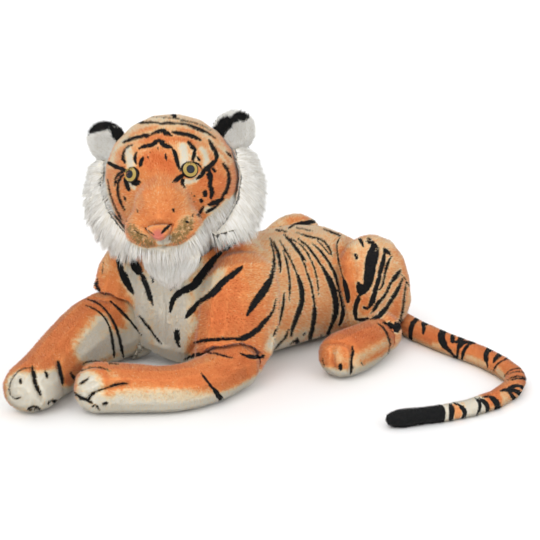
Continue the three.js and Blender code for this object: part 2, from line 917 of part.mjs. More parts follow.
// Ruff: long pile sewn along the cheeks from below the ears to the chin
const ruffRadiusShare = 0.52;
const ruffDegrees = [26, 6, -16, -40, -64];
const ruffDepthShares = [0.62, 0.9, 1, 0.9, 0.6];
const ruffThicknessShares = [0.8, 1, 1, 1, 0.8];
const ruffBackShares = [0.06, 0.03, -0.02, -0.09, -0.19];

function ruffSolid(sign, grow) {
  const points = ruffDegrees.map((degrees, i) => {
    const angle = THREE.MathUtils.degToRad(degrees);
    return new THREE.Vector3(
      sign * headWidth * ruffRadiusShare * Math.cos(angle),
      headDepth * ruffBackShares[i],
      headHeight * ruffRadiusShare * Math.sin(angle),
    );
  });
  return limb({
    curve: new THREE.CatmullRomCurve3(points, false, "centripetal"),
    width: ruffDepth,
    height: ruffThickness,
    widthShares: ruffDepthShares,
    heightShares: ruffThicknessShares,
    reference: new THREE.Vector3(0, 1, 0),
    inset: -grow,
    sides: 10,
    count: 8,
  });
}

const beardPlaceShares = [0, -0.42, -0.5];

function beardSolid(grow) {
  const [x, y, z] = beardPlaceShares;
  const centre = new THREE.Vector3(x * headWidth, y * headDepth, z * headHeight);
  const half = [beardWidth / 2 + grow, beardDepth / 2 + grow, beardHeight / 2 + grow];
  return ellipsoid(centre, half, new THREE.Euler(), 14, 8);
}

const chinPlaceShares = [0, -0.56, -0.385];

function chinSolid(grow) {
  const [x, y, z] = chinPlaceShares;
  const centre = new THREE.Vector3(x * headWidth, y * headDepth, z * headHeight);
  const half = [chinWidth / 2 + grow, chinDepth / 2 + grow, chinHeight / 2 + grow];
  return ellipsoid(centre, half, new THREE.Euler(), 12, 7);
}

// Nose: a rounded triangle of short pile on the front of the muzzle
const nosePlaceShares = [0, -0.755, -0.245];
const noseTilt = 0.55;

function noseSolid() {
  const half = noseWidth / 2;
  const shape = new THREE.Shape();
  shape.moveTo(0, -noseHeight / 2);
  shape.quadraticCurveTo(-half / 2, -noseHeight / 2, -half, noseHeight / 4);
  shape.quadraticCurveTo(-half, noseHeight / 2, 0, noseHeight / 2);
  shape.quadraticCurveTo(half, noseHeight / 2, half, noseHeight / 4);
  shape.quadraticCurveTo(half / 2, -noseHeight / 2, 0, -noseHeight / 2);
  const bevel = noseThickness / 4;
  const geometry = new THREE.ExtrudeGeometry(shape, {
    depth: noseThickness - bevel,
    bevelThickness: bevel,
    bevelSize: bevel,
    bevelOffset: -bevel,
    bevelSegments: 1,
    curveSegments: 3,
  });
  const [x, y, z] = nosePlaceShares;
  const turn = new THREE.Euler(Math.PI / 2 - noseTilt, 0, 0);
  const matrix = new THREE.Matrix4().makeRotationFromEuler(turn);
  matrix.setPosition(x * headWidth, y * headDepth, z * headHeight);
  return makeSolid(geometry.applyMatrix4(matrix));
}

function buildHead() {
  const neckRoom = toHead(socket(neckCentre, neckRadius, ...neckFacets));
  const stems = eyeRoom(1, eyeStemDiameter, eyeDomeHeight).add(
    eyeRoom(-1, eyeStemDiameter, eyeDomeHeight),
  );
  const washers = eyeRoom(1, washerDiameter, -fabricWall).add(
    eyeRoom(-1, washerDiameter, -fabricWall),
  );
  const cover = skull(0).subtract(skull(-fabricWall, 12, 8)).subtract(neckRoom);
  addPiece("head_cover", cover.subtract(stems).subtract(washers), colours.orange, headGroup);
  const filling = skull(-fabricWall - seamGap, 12, 8).subtract(neckRoom);
  addPiece("head_stuffing", filling.subtract(washers), colours.fill, headGroup);

  const muzzle = [
    muzzleSolid(0),
    muzzleSolid(fabricWall, 7, 5),
    muzzleSolid(fabricWall + seamGap, 7, 5),
  ];
  const head = skull(seamGap);
  addStuffed("muzzle", "muzzle_stuffing", muzzle, head, colours.orange, headGroup);
  const face = head.add(muzzleSolid(-seamGap));
  addPiece("nose", noseSolid().subtract(face), colours.nose, headGroup, roughnesses.nose);
  addPiece("chin", chinSolid(0).subtract(face), colours.white, headGroup);
  const body = toHead(bodyRoom());
  const beard = beardSolid(0).subtract(face).subtract(chinSolid(seamGap)).subtract(body);
  addPiece("beard", beard, colours.white, headGroup);
  const beside = face.add(beardSolid(seamGap)).add(body);
  sideNames.forEach(([name, sign]) => {
    const ruff = ruffSolid(sign, 0).subtract(beside).subtract(earRoom(sign));
    addPiece(`ruff_${name}`, ruff, colours.white, headGroup);
    buildEye(name, sign);
    buildEar(name, sign);
  });
}

// The room over the torso and shoulders that the long pile of the head stays clear of.
function bodyRoom() {
  const pads = sideNames.map(([name, sign]) => {
    const pad = padOptions(
      sign,
      shoulderReachShares[name],
      shoulderPathShares,
      [shoulderWidth, shoulderLength, shoulderHeight],
      shoulderWidthShares,
      shoulderLengthShares,
    );
    return limb({ ...pad, inset: -pileSway });
  });
  const neckRoom = socket(neckCentre, neckRadius, ...neckFacets);
  return torsoSolid(-pileSway, 12).add(pads[0]).add(pads[1]).add(neckRoom);
}

const grownTorso = torsoSolid(-seamGap);

buildTorso();
buildNeck();
sideNames.forEach(([name, sign]) => buildForeleg(name, sign));
sideNames.forEach(([name, sign]) => buildHindLeg(name, sign));
buildTail();
buildHead();

export default root;
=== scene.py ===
"""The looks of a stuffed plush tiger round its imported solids: printed pile fabric on every stuffed
part, a long-pile ruff and beard, domed plastic eyes and a velour nose. Lengths named in mm are
turned to metres where they are used, and the meshes are in metres as the frame is."""

import math

import bmesh
import bpy
import numpy as np
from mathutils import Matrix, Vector
from mathutils.bvhtree import BVHTree
from mathutils.kdtree import KDTree


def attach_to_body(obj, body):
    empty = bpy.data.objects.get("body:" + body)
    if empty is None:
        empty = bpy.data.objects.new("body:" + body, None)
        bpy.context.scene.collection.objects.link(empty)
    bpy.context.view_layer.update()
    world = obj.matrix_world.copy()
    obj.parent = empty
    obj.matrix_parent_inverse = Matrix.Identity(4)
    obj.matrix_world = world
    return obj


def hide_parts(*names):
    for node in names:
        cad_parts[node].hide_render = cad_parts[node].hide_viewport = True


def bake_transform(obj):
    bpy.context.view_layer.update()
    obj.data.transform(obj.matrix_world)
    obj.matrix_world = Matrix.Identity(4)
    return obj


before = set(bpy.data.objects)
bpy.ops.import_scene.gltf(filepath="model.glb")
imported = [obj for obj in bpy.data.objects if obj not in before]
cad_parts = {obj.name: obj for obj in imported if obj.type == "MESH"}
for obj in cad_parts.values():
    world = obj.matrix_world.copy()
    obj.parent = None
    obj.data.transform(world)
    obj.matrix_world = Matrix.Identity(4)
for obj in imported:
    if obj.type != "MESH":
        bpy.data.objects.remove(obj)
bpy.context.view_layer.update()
scene = bpy.context.scene
rng = np.random.default_rng(11)
MM = 0.001
SIDES = {"left": 1, "right": -1}
# How far apart the fibres stand, as a multiple of their full spacing
QUALITY = 1.0

# The camera, which the places in the stroke tables are also read through
VIEW_AZIMUTH, VIEW_ELEVATION = math.radians(52), math.radians(16)
VIEW_DISTANCE, VIEW_FOCAL, SENSOR = 2.0, 74, 36
VIEW_TARGET = np.array([0.0427, -0.013, 0.150])
IMAGE_SIDE = 540
VIEW_SCALE = VIEW_FOCAL / SENSOR * IMAGE_SIDE
VIEW_BACK = np.array([math.sin(VIEW_AZIMUTH), -math.cos(VIEW_AZIMUTH), 0.0])
VIEW_BACK *= math.cos(VIEW_ELEVATION)
VIEW_BACK[2] = math.sin(VIEW_ELEVATION)
VIEW_RIGHT = np.array([math.cos(VIEW_AZIMUTH), math.sin(VIEW_AZIMUTH), 0.0])
VIEW_UP = np.cross(VIEW_BACK, VIEW_RIGHT)
VIEW_EYE = VIEW_TARGET + VIEW_BACK * VIEW_DISTANCE


def view_ray(u, v):
    half = IMAGE_SIDE / 2
    ray = -VIEW_BACK + VIEW_RIGHT * (u - half) / VIEW_SCALE - VIEW_UP * (v - half) / VIEW_SCALE
    return Vector(ray).normalized()


def view_places(points):
    """Where points stand in the picture."""
    offset = points - VIEW_EYE
    depth = -(offset @ VIEW_BACK)
    across, up = offset @ VIEW_RIGHT / depth, offset @ VIEW_UP / depth
    half = IMAGE_SIDE / 2
    return np.stack([half + VIEW_SCALE * across, half - VIEW_SCALE * up], 1)


def unit(rows):
    return rows / np.maximum(np.linalg.norm(rows, axis=-1, keepdims=True), 1e-12)


def rising(values, start, span):
    """From 0 where the values are at start to 1 where they are a span above it, smoothly."""
    t = np.clip((values - start) / span, 0, 1)
    return t * t * (3 - 2 * t)


def falling(values, start, span):
    """From 0 where the values are at start to 1 where they are a span below it, smoothly."""
    return rising(-values, -start, span)


# Meshes as arrays
def new_object(name, mesh):
    obj = bpy.data.objects.new(name, mesh)
    scene.collection.objects.link(obj)
    return obj


def read_rows(items, name, kind, size):
    flat = np.empty(size * len(items), kind)
    items.foreach_get(name, flat)
    return flat.reshape(-1, size)


def read_points(mesh):
    return read_rows(mesh.vertices, "co", np.float32, 3).astype(float)


def read_normals(mesh):
    return read_rows(mesh.vertex_normals, "vector", np.float32, 3).astype(float)


def read_edges(mesh):
    return read_rows(mesh.edges, "vertices", np.int32, 2)


def read_triangles(mesh):
    mesh.calc_loop_triangles()
    return read_rows(mesh.loop_triangles, "vertices", np.int32, 3)


def write_points(mesh, points):
    mesh.vertices.foreach_set("co", points.astype(np.float32).ravel())
    mesh.update()


def tree_of(obj):
    points, triangles = read_points(obj.data), read_triangles(obj.data)
    return BVHTree.FromPolygons(points.tolist(), triangles.tolist())


def kd_tree(points, numbers):
    tree = KDTree(len(points))
    for place, number in zip(points.tolist(), numbers):
        tree.insert(place, number)
    tree.balance()
    return tree


def neighbour_mean(values, edges):
    count = len(values)
    sums = np.zeros_like(values)
    for axis in range(values.shape[1]):
        sums[:, axis] = np.bincount(edges[:, 0], values[edges[:, 1], axis], count)
        sums[:, axis] += np.bincount(edges[:, 1], values[edges[:, 0], axis], count)
    number = np.bincount(edges.ravel(), minlength=count)[:, None]
    return sums / np.maximum(number, 1)


SHRINK, SWELL = 0.5, -0.52


def smooth(mesh, passes):
    """Evens a mesh out without thinning it."""
    points, edges = read_points(mesh), read_edges(mesh)
    for _ in range(passes):
        for weight in (SHRINK, SWELL):
            points += weight * (neighbour_mean(points, edges) - points)
    write_points(mesh, points)


def keep_largest(mesh):
    """Removes every loose shell but the one with the most points."""
    points, edges = read_points(mesh), read_edges(mesh)
    label = np.arange(len(points))
    while True:
        low = np.minimum(label[edges[:, 0]], label[edges[:, 1]])
        new = label.copy()
        np.minimum.at(new, edges[:, 0], low)
        np.minimum.at(new, edges[:, 1], low)
        new = new[new]
        if (new == label).all():
            break
        label = new
    names, counts = np.unique(label, return_counts=True)
    if len(names) == 1:
        return
    shell = bmesh.new()
    shell.from_mesh(mesh)
    shell.verts.ensure_lookup_table()
    loose = [shell.verts[i] for i in np.nonzero(label != names[counts.argmax()])[0]]
    bmesh.ops.delete(shell, geom=loose, context="VERTS")
    shell.to_mesh(mesh)
    shell.free()


def remesh(obj, voxel_mm):
    modifier = obj.modifiers.new("remesh", "REMESH")
    modifier.mode = "VOXEL"
    modifier.voxel_size = voxel_mm * MM
    graph = bpy.context.evaluated_depsgraph_get()
    obj.data = bpy.data.meshes.new_from_object(obj.evaluated_get(graph))
    obj.modifiers.clear()
    keep_largest(obj.data)


def push(obj, amount_mm, share_at):
    """Moves a skin out along its normals, by a share of an amount at each place."""
    points = read_points(obj.data)
    amounts = share_at(points) * amount_mm * MM
    write_points(obj.data, points + read_normals(obj.data) * amounts[:, None])


def closed_copy(name, nodes, voxel_mm, inset_mm, passes, fill_mm=0, fill_at=None):
    """One closed, evened-out skin round some of the frame's nodes, drawn in by an inset. Creases
    narrower than twice the fill are filled, as one sewn cover bridges them."""
    joined = bmesh.new()
    for node in nodes:
        joined.from_mesh(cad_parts[node].data)
    mesh = bpy.data.meshes.new(name)
    joined.to_mesh(mesh)
    joined.free()
    obj = new_object(name, mesh)
    remesh(obj, voxel_mm)
    for way in (1, -1) if fill_mm else ():
        smooth(obj.data, 4)
        push(obj, way * fill_mm, fill_at)
        remesh(obj, voxel_mm)
    smooth(obj.data, passes)
    points = read_points(obj.data) - read_normals(obj.data) * inset_mm * MM
    write_points(obj.data, points)
    smooth(obj.data, 3)
    obj.data.shade_smooth()
    return obj


# Colours, by the dye of the pile, of which the first six are the tones from 0 to 5
SHADES = {
    "deep_orange": "C95F2B",
    "orange": "E2804A",
    "light_orange": "EC9A5C",
    "apricot": "F2C490",
    "cream": "EFDBB8",
    "white": "E4DECF",
    "snow": "F4F2EC",
    "pearl": "E2DDD0",
    "black": "1B1C1D",
    "soot": "312A26",
    "umber": "8A6E42",
    "tan": "BD9A66",
    "pink": "DC8270",
}
SHADE_NAMES = list(SHADES)
TONES = SHADE_NAMES[:6]
WHITEST = 4.9


def linear(code):
    parts = [int(code[i : i + 2], 16) / 255 for i in (0, 2, 4)]
    return [p / 12.92 if p < 0.04045 else ((p + 0.055) / 1.055) ** 2.4 for p in parts] + [1.0]


# Materials
def feed(tree, node, name, value):
    """Sets a node's input, or links it where the value is another node's output."""
    if isinstance(value, bpy.types.NodeSocket):
        tree.links.new(value, node.inputs[name])
    else:
        node.inputs[name].default_value = value


def add_node(tree, kind, inputs=None, **settings):
    node = tree.nodes.new("ShaderNode" + kind)
    for name, value in settings.items():
        setattr(node, name, value)
    for name, value in (inputs or {}).items():
        feed(tree, node, name, value)
    return node


def add_noise(tree, scale, detail=2.0):
    place = add_node(tree, "TexCoord").outputs["Object"]
    inputs = {"Scale": scale, "Detail": detail, "Vector": place}
    return add_node(tree, "TexNoise", inputs).outputs["Fac"]


def add_bump(tree, shader, scale, strength):
    noise = add_noise(tree, scale, detail=3.0)
    bump = add_node(tree, "Bump", {"Strength": strength, "Distance": 0.001, "Height": noise})
    feed(tree, shader, "Normal", bump.outputs["Normal"])
    return noise


def add_mix(tree, share, first, second):
    inputs = {"Factor": share, "A": first, "B": second}
    return add_node(tree, "Mix", inputs, data_type="RGBA").outputs["Result"]


def add_layer(tree, name):
    return add_node(tree, "Attribute", attribute_name=name).outputs["Fac"]


SHEEN_ROUGHNESS, COAT_ROUGHNESS = 0.45, 0.04


def new_material(name, roughness, sheen=0.0, coat=0.0, specular=0.5):
    material = bpy.data.materials.new(name)
    material.use_nodes = True
    tree = material.node_tree
    shader = tree.nodes["Principled BSDF"]
    for socket, value in (
        ("Roughness", roughness),
        ("Sheen Weight", sheen),
        ("Sheen Roughness", SHEEN_ROUGHNESS),
        ("Coat Weight", coat),
        ("Coat Roughness", COAT_ROUGHNESS),
        ("Specular IOR Level", specular),
    ):
        feed(tree, shader, socket, value)
    return material, tree, shader


def pile_material(shade):
    sheen = 0.0 if shade in ("black", "soot") else 0.3
    material, tree, shader = new_material("pile_" + shade, 0.85, sheen=sheen, specular=0.15)
    feed(tree, shader, "Base Color", linear(SHADES[shade]))
    return material


# How a stripe's edge is drawn: the noise's weight in its gap, and the gaps that are black and free
EDGE_NOISE, EDGE_BLACK, EDGE_FREE = 0.12, 0.54, 0.6


def printed_material(name, stain_and_shade_colour):
    """The fabric under the pile: its print is read from how far a point is from a stripe, and from
    its tone and its stain, which beside the paws' dark lines is painted shade, and the stripes'
    edges are broken up by noise."""
    material, tree, shader = new_material(name, 0.9, sheen=0.2, specular=0.2)
    noise = add_bump(tree, shader, 600, 0.6)
    ramp = add_node(tree, "ValToRGB", {"Fac": add_layer(tree, "tone")})
    stops = ramp.color_ramp.elements
    stops[0].color, stops[-1].color = linear(SHADES[TONES[0]]), linear(SHADES[TONES[-1]])
    for i, shade in enumerate(TONES[1:-1], 1):
        stops.new(i / (len(TONES) - 1)).color = linear(SHADES[shade])
    terms = {0: noise, 1: EDGE_NOISE, 2: add_layer(tree, "stripe_gap")}
    gap = add_node(tree, "Math", terms, operation="MULTIPLY_ADD").outputs["Value"]
    limits = {"From Min": EDGE_BLACK, "From Max": EDGE_FREE, "Value": gap}
    edge = add_node(tree, "MapRange", limits)
    stain_and_shade = linear(SHADES[stain_and_shade_colour])
    stained_and_shaded = add_mix(tree, add_layer(tree, "stain_and_shade"), ramp.outputs["Color"], stain_and_shade)
    striped = add_mix(tree, edge.outputs["Result"], linear(SHADES["black"]), stained_and_shaded)
    feed(tree, shader, "Base Color", striped)
    return material


def two_shades(tree, shader, first, second, scale):
    """Colours a shader in soft patches of two near shades."""
    shades = add_mix(tree, add_noise(tree, scale), linear(first), linear(second))
    feed(tree, shader, "Base Color", shades)


def black_fabric(name):
    material, tree, shader = new_material(name, 0.9, sheen=0.3, specular=0.2)
    add_bump(tree, shader, 700, 0.5)
    two_shades(tree, shader, SHADES["black"], SHADES["soot"], 90)
    return material


def plastic(name, first, second, scale, coat):
    material, tree, shader = new_material(name, 0.22, coat=coat, specular=0.2)
    two_shades(tree, shader, first, second, scale)
    return material


PILE = [pile_material(shade) for shade in SHADES]
# The umber stain is real brown speckle on the lips and painted shade beside the paws' dark lines;
# the nose's pink stain is its own colour.
PRINTED = printed_material("printed_fabric", "umber")
NOSE_PRINTED = printed_material("nose_velour", "pink")

# The skins
TORSO_NODES = ["torso_cover_left", "torso_cover_right", "belly_panel", "torso_stuffing"]
for part in ("shoulder", "thigh"):
    for side in SIDES:
        TORSO_NODES += [f"{part}_{side}", f"{part}_stuffing_{side}"]
HEAD_NODES = ["head_cover", "head_stuffing", "muzzle", "muzzle_stuffing", "chin"]
TAIL_NODES = ["tail_base", "tail_bend", "tail_end", "tail_tip"]
LEG_PARTS = ("forearm", "forearm_stuffing", "forepaw", "forepaw_stuffing")
LEG_NODES = {side: [f"{part}_{side}" for part in LEG_PARTS] for side in SIDES}
FOOT_NODES = {side: [f"hind_foot_{side}", f"hind_foot_stuffing_{side}"] for side in SIDES}
PILE_DEPTH = 3.0


def front_of_torso(points):
    return falling(points[:, 1], -0.07, 0.05) * rising(points[:, 2], 0.02, 0.04)


def all_over(points):
    return np.ones(len(points))


torso = closed_copy("torso_skin", TORSO_NODES, 3, PILE_DEPTH, 34, 13, front_of_torso)
head = closed_copy("head_skin", HEAD_NODES, 2.2, PILE_DEPTH - 1, 30, 7, all_over)
legs = {s: closed_copy(f"foreleg_{s}_skin", LEG_NODES[s], 2.6, PILE_DEPTH, 30) for s in SIDES}
feet = {s: closed_copy(f"hind_foot_{s}_skin", FOOT_NODES[s], 2.6, PILE_DEPTH, 26) for s in SIDES}
tail = closed_copy("tail_skin", TAIL_NODES, 2.2, PILE_DEPTH - 1, 9)
neck = closed_copy("neck_skin", ["neck_stuffing"], 4, PILE_DEPTH, 10)
SKINS = {"torso": torso, "head": head}
for side in SIDES:
    SKINS |= {"leg_" + side: legs[side], "foot_" + side: feet[side]}


def table(text):
    """The rows of a stroke table: each stroke's numbers, and its places as text."""
    rows = [row.split(" | ") for row in text.strip().split("\n")]
    return [(*map(float, numbers.split()), places) for numbers, places in rows]


# Stripes, as half width in mm and the places along the stroke. The places of a table are in a
# window on the picture: its corner and the size of its unit, in picture points.
FACE_WINDOW = (85, 100, 0.2)
NECK_WINDOW = (80, 100, 0.12755)
CHEST_WINDOW = (0, 260, 0.279)
FLANK_WINDOW = (200, 200, 0.15306)
TAIL_WINDOW = (375, 305, 0.1)
PAW_WINDOW = (0, 340, 0.1)
THIGH_WINDOW = (335, 215, 0.1)
REAR_WINDOW = (230, 200, 0.2)
NOSE_WINDOW = (120, 190, 0.1)

FACE_STRIPES = table("""
1.2 | 476,356 488,328 514,312 546,311 574,326 584,346
1.2 | 212,352 232,336 256,344 270,366
3.0 | 425,70 440,75 450,92
2.0 | 480,70 540,78 595,105 640,140 652,160
1.2 | 290,95 350,90 420,92 480,98 520,110
2.4 | 190,160 230,135 280,118 340,113 385,120
3.4 | 380,122 415,116 445,122
2.8 | 450,118 510,124 560,140 600,160 648,190
1.6 | 520,135 560,150 590,165
1.2 | 480,108 540,112 590,135 640,165
3.2 | 195,212 235,195 285,183 315,172
2.4 | 300,185 325,178
3.4 | 335,172 365,158 390,152 405,165 430,178
3.6 | 440,162 480,170 520,176 550,188 575,200
2.6 | 272,242 300,230 335,226 355,212 368,200
2.6 | 368,200 385,215 405,230 432,238
2.0 | 350,205 400,208
0.9 | 335,244 336,246
0.9 | 365,239 366,241
0.9 | 385,240 386,241
1.0 | 325,261 326,263
1.0 | 315,284 316,287
1.2 | 403,268 408,300
1.9 | 290,285 280,310 276,332
2.0 | 438,245 452,270 460,305 472,342
2.8 | 518,210 535,235 552,252
1.8 | 550,250 546,278 536,300
1.4 | 560,282 575,305
3.6 | 622,205 640,240 658,270 655,300
2.4 | 655,300 630,325 605,345 585,355
2.2 | 705,262 728,282
2.6 | 238,226 212,238 195,262 190,290 203,312
1.6 | 258,262 248,288 255,318
2.0 | 112,308 150,332 215,352
2.0 | 150,430 155,392 175,364 205,352
2.2 | 192,372 172,400 163,440 168,480 182,520 200,548
2.4 | 118,400 124,450 140,505 165,560 192,600
3.0 | 200,392 208,425 222,452
1.8 | 198,485 202,500
2.6 | 172,560 180,598
3.0 | 235,412 258,418 272,408
2.2 | 495,372 468,392 442,412
2.0 | 492,392 484,415 498,438
2.4 | 602,345 585,375 560,392
2.2 | 600,345 625,352
2.6 | 620,355 632,385 628,405
2.0 | 635,340 652,358
2.8 | 612,372 630,400 622,425 638,455 630,490
3.8 | 690,320 714,352 722,400 708,450 680,488
3.6 | 690,495 655,512 620,520
2.6 | 668,520 640,542 608,560
3.6 | 766,420 766,450 755,482
2.8 | 598,455 602,478
0.9 | 545,478 550,482
0.9 | 532,465 536,468
2.4 | 578,498 586,506
2.2 | 592,530 575,560 562,582
1.3 | 440,544 444,556
0.9 | 263,552 265,562
1.1 | 537,578 539,584
""")

THIGH_STRIPES = table("""
0.9 | 60,225 25,260 15,330 35,440 60,560 85,640
2.0 | 85,640 110,730 125,790 132,870
1.3 | 245,235 265,265 282,312
1.2 | 200,390 216,405 218,440
1.8 | 325,268 365,280 392,320
4.8 | 378,330 368,400 352,480 345,560 342,640 315,720 275,775
2.8 | 235,685 252,735 262,790
1.6 | 258,780 232,845 207,900 203,980 208,1045
1.3 | 372,262 410,295 426,350 422,430 400,500 385,570 372,640
1.9 | 488,345 495,400 478,480 452,560 440,640 412,720 392,800 362,880 328,935 290,925
2.0 | 488,345 520,365 548,392
1.3 | 560,420 530,480 502,560 490,640 470,715 440,748
1.4 | 402,830 385,870 365,900
2.0 | 652,555 605,618 562,665
1.5 | 600,620 560,672 532,735 500,805 450,855 408,915 368,990
2.3 | 672,640 640,720 602,790 560,850 520,920 480,980 420,1030 330,1052 230,1045
1.8 | 708,680 695,760 682,860 670,960 648,1040 620,1090
3.0 | 488,1088 545,1100 600,1140 622,1165
2.2 | 622,1165 645,1110 660,1050
0.8 | 655,590 700,640 748,740 765,850 750,950
1.6 | 430,1090 490,1140 522,1200 548,1295
1.6 | 112,148 150,160 188,180
1.2 | 0,110 60,122 110,140
1.2 | 330,238 358,250
""")
REAR_STRIPES = table("""
1.4 | 610,735 616,765 602,790 607,830 603,868
1.6 | 552,822 550,848
1.0 | 466,795 472,830
0.8 | 655,815 661,825
1.2 | 790,690 797,740 780,772
""")

CHEST_STRIPES = table("""
3.2 | 420,0 432,40 452,80 472,108 482,118
5.0 | 440,40 460,90 474,110
6.0 | 480,5 500,35 512,55
4.0 | 500,35 522,75 538,120 548,160
1.8 | 545,52 548,66 550,80
2.4 | 708,12 660,50 628,88 613,105
6.0 | 775,0 745,40 705,85 670,112
3.8 | 705,85 650,110 622,135 614,165 611,187
3.0 | 866,28 842,48 812,72
5.0 | 815,62 770,110 725,148
4.2 | 735,135 695,172 668,205
2.6 | 978,0 976,40 960,80
4.2 | 970,60 945,105 905,155 888,196
2.6 | 988,140 978,185 950,225
5.0 | 960,205 925,250 880,278 850,285
2.4 | 870,278 800,282 745,286 698,296
3.0 | 338,62 344,90 358,112 382,124
2.0 | 300,142 345,150 385,185 415,240 430,290
2.8 | 405,215 425,270 440,346
1.6 | 308,166 350,180 382,215 398,262
3.2 | 392,240 402,290 408,346
2.4 | 395,148 430,180 470,222
1.4 | 455,205 490,248 512,270
3.0 | 500,200 522,225 550,262
1.8 | 540,250 560,278 580,300
5.5 | 638,255 634,275 638,290
3.0 | 634,285 640,300 645,312
2.2 | 662,356 690,343 740,334 790,340 832,352
1.4 | 860,335 885,345
3.0 | 880,345 920,349 948,344
1.6 | 722,408 745,438 768,468
3.8 | 765,462 782,485 797,508
1.6 | 832,480 838,496
""")

NECK_STRIPES = table("""
6.0 | 1212,1045 1218,1080 1195,1130
4.0 | 1190,1120 1150,1165 1130,1185
6.5 | 1105,1195 1050,1255 990,1320 945,1380 905,1430 860,1475
5.0 | 900,1440 830,1485 770,1520 735,1568
3.0 | 950,1240 900,1300 840,1350 780,1400 745,1440 715,1490
3.4 | 1270,1310 1220,1350 1160,1385
5.6 | 1190,1370 1130,1420 1090,1470 1040,1520 990,1560
2.0 | 1490,1090 1520,1200 1525,1300 1505,1390
4.0 | 1512,1360 1490,1420 1440,1490 1380,1568
2.8 | 290,1085 305,1180 310,1280
5.0 | 305,1230 330,1370 370,1440 420,1520
5.0 | 420,1240 415,1290 440,1340 480,1370
5.0 | 480,1370 500,1420 530,1480 545,1568
2.0 | 570,1355 572,1390 578,1425
1.2 | 185,1270 180,1320 178,1365
3.0 | 140,1400 140,1470 160,1510 195,1530
1.6 | 375,1110 395,1112 405,1104
""")

FLANK_STRIPES = table("""
1.2 | 460,260 482,340 484,430
3.6 | 484,430 462,525 415,610 360,680 308,748
2.6 | 475,275 505,330 520,400 522,470
1.6 | 540,330 565,400 580,480 588,560 582,660
1.6 | 520,270 570,350 610,430 640,500
5.2 | 635,490 662,570 668,650 645,730 612,810 592,885
2.4 | 550,605 545,680 524,770 480,888
2.8 | 548,228 590,268 640,335 690,400
1.4 | 660,380 690,440 700,480
1.4 | 600,255 680,310 725,390 752,460 768,540 775,620
1.8 | 690,460 720,530 738,610 746,690
4.6 | 746,690 746,770 728,860 712,915
2.0 | 640,255 700,300 750,365 800,440
5.0 | 800,440 845,520 875,600 890,680 880,760 855,820 828,885
2.2 | 735,288 790,335 840,405 880,480 908,560 920,640
3.0 | 905,560 930,640 938,720 930,780 912,815
2.4 | 625,215 700,238 780,255 825,285 850,330 862,368
1.4 | 760,262 800,300 850,360
3.4 | 580,190 640,160 700,150 770,140
3.4 | 500,200 560,210
3.2 | 630,185 680,195 730,210
5.0 | 782,165 828,178
3.0 | 840,170 900,185
5.0 | 812,198 860,215 912,232
3.8 | 930,190 1005,215
2.8 | 575,850 555,900 520,935 480,975
2.8 | 630,900 635,935 585,970
2.0 | 795,875 760,910
""")

PAW_STRIPES = table("""
2.8 | 325,275 335,340 345,410 365,470 400,540
3.0 | 580,220 595,300 610,370 625,440
0.9 | 290,278 200,300 150,350 110,420 95,490 105,550 150,590 200,575
1.6 | 200,395 210,435
1.8 | 450,320 470,345 465,375
2.2 | 700,330 720,365 745,390
1.2 | 745,380 745,480
2.2 | 740,490 700,520 675,575
1.8 | 285,690 300,665 340,660 390,680
1.4 | 285,695 340,690 400,685
2.0 | 475,640 490,605 540,605 600,625
1.4 | 500,650 560,645 605,628
1.0 | 820,245 870,215 950,210 1040,225 1110,240
2.2 | 1090,238 1125,245 1180,250
1.0 | 760,380 800,330 870,290 940,275 1020,285 1090,310
1.4 | 800,445 840,415 885,385
2.4 | 885,600 900,560 950,520
1.0 | 950,520 1030,490 1100,470
1.8 | 1100,465 1180,440 1270,435
2.2 | 745,500 770,545 820,580 880,600 920,625
1.2 | 920,665 960,640 990,700
1.8 | 1030,640 1070,630
""")

TAIL_STRIPES = table("""
1.2 | 262,240 275,275 292,312
4.8 | 425,135 378,185 358,235 356,290 360,345
1.4 | 355,345 410,365 450,390
4.6 | 525,165 500,180 490,215
2.4 | 490,205 488,245 485,288
5.6 | 745,250 690,262 662,300 665,350 690,400 735,450
3.6 | 700,410 735,450 790,505 830,525
2.6 | 835,285 795,290 775,310
3.0 | 775,300 778,340 780,372
5.0 | 960,325 900,325 860,345 850,380
4.6 | 865,340 858,390 835,430
2.0 | 835,430 828,470 822,520
3.2 | 1010,355 975,365 940,400
2.4 | 950,385 905,430 880,480 872,540
4.4 | 1200,440 1140,450 1118,480
3.6 | 1120,460 1108,510 1118,570
1.6 | 1110,540 1122,590 1128,625
3.6 | 1310,495 1260,495 1215,525 1190,570
1.5 | 1385,560 1320,540 1270,560 1225,590 1195,635 1190,660
1.2 | 1480,645 1420,635 1360,650 1310,690 1295,720
1.2 | 1500,690 1440,665 1380,675 1330,700
1.2 | 1515,740 1450,710 1390,720 1340,745 1310,770
1.2 | 1520,760 1470,735 1400,740 1350,760
1.8 | 1510,860 1470,820 1420,805 1370,815 1320,840
2.6 | 1480,920 1440,880 1400,855 1350,848 1290,850 1255,862
2.6 | 1330,870 1370,905 1395,950 1400,1000 1385,1022
1.2 | 1500,870 1500,900 1470,940 1440,970
4.2 | 1150,920 1190,945 1220,985 1225,1030 1205,1060
1.6 | 1080,925 1130,915 1160,920
3.4 | 1040,940 1090,965 1120,1000 1125,1040 1120,1080
2.2 | 1000,938 1035,955 1050,1000 1045,1050 1010,1100
2.8 | 840,1000 875,1030 900,1065 890,1110 860,1140
1.6 | 790,985 835,1000
3.4 | 750,995 770,1040 768,1090 755,1155
""")

EAR_STRIPES = table("""
7.0 | 30,165 50,142 100,128 145,132
11.0 | 140,145 170,160 190,180 182,210
9.0 | 650,190 675,152 705,118 735,98
6.0 | 735,94 770,84 812,88
""")

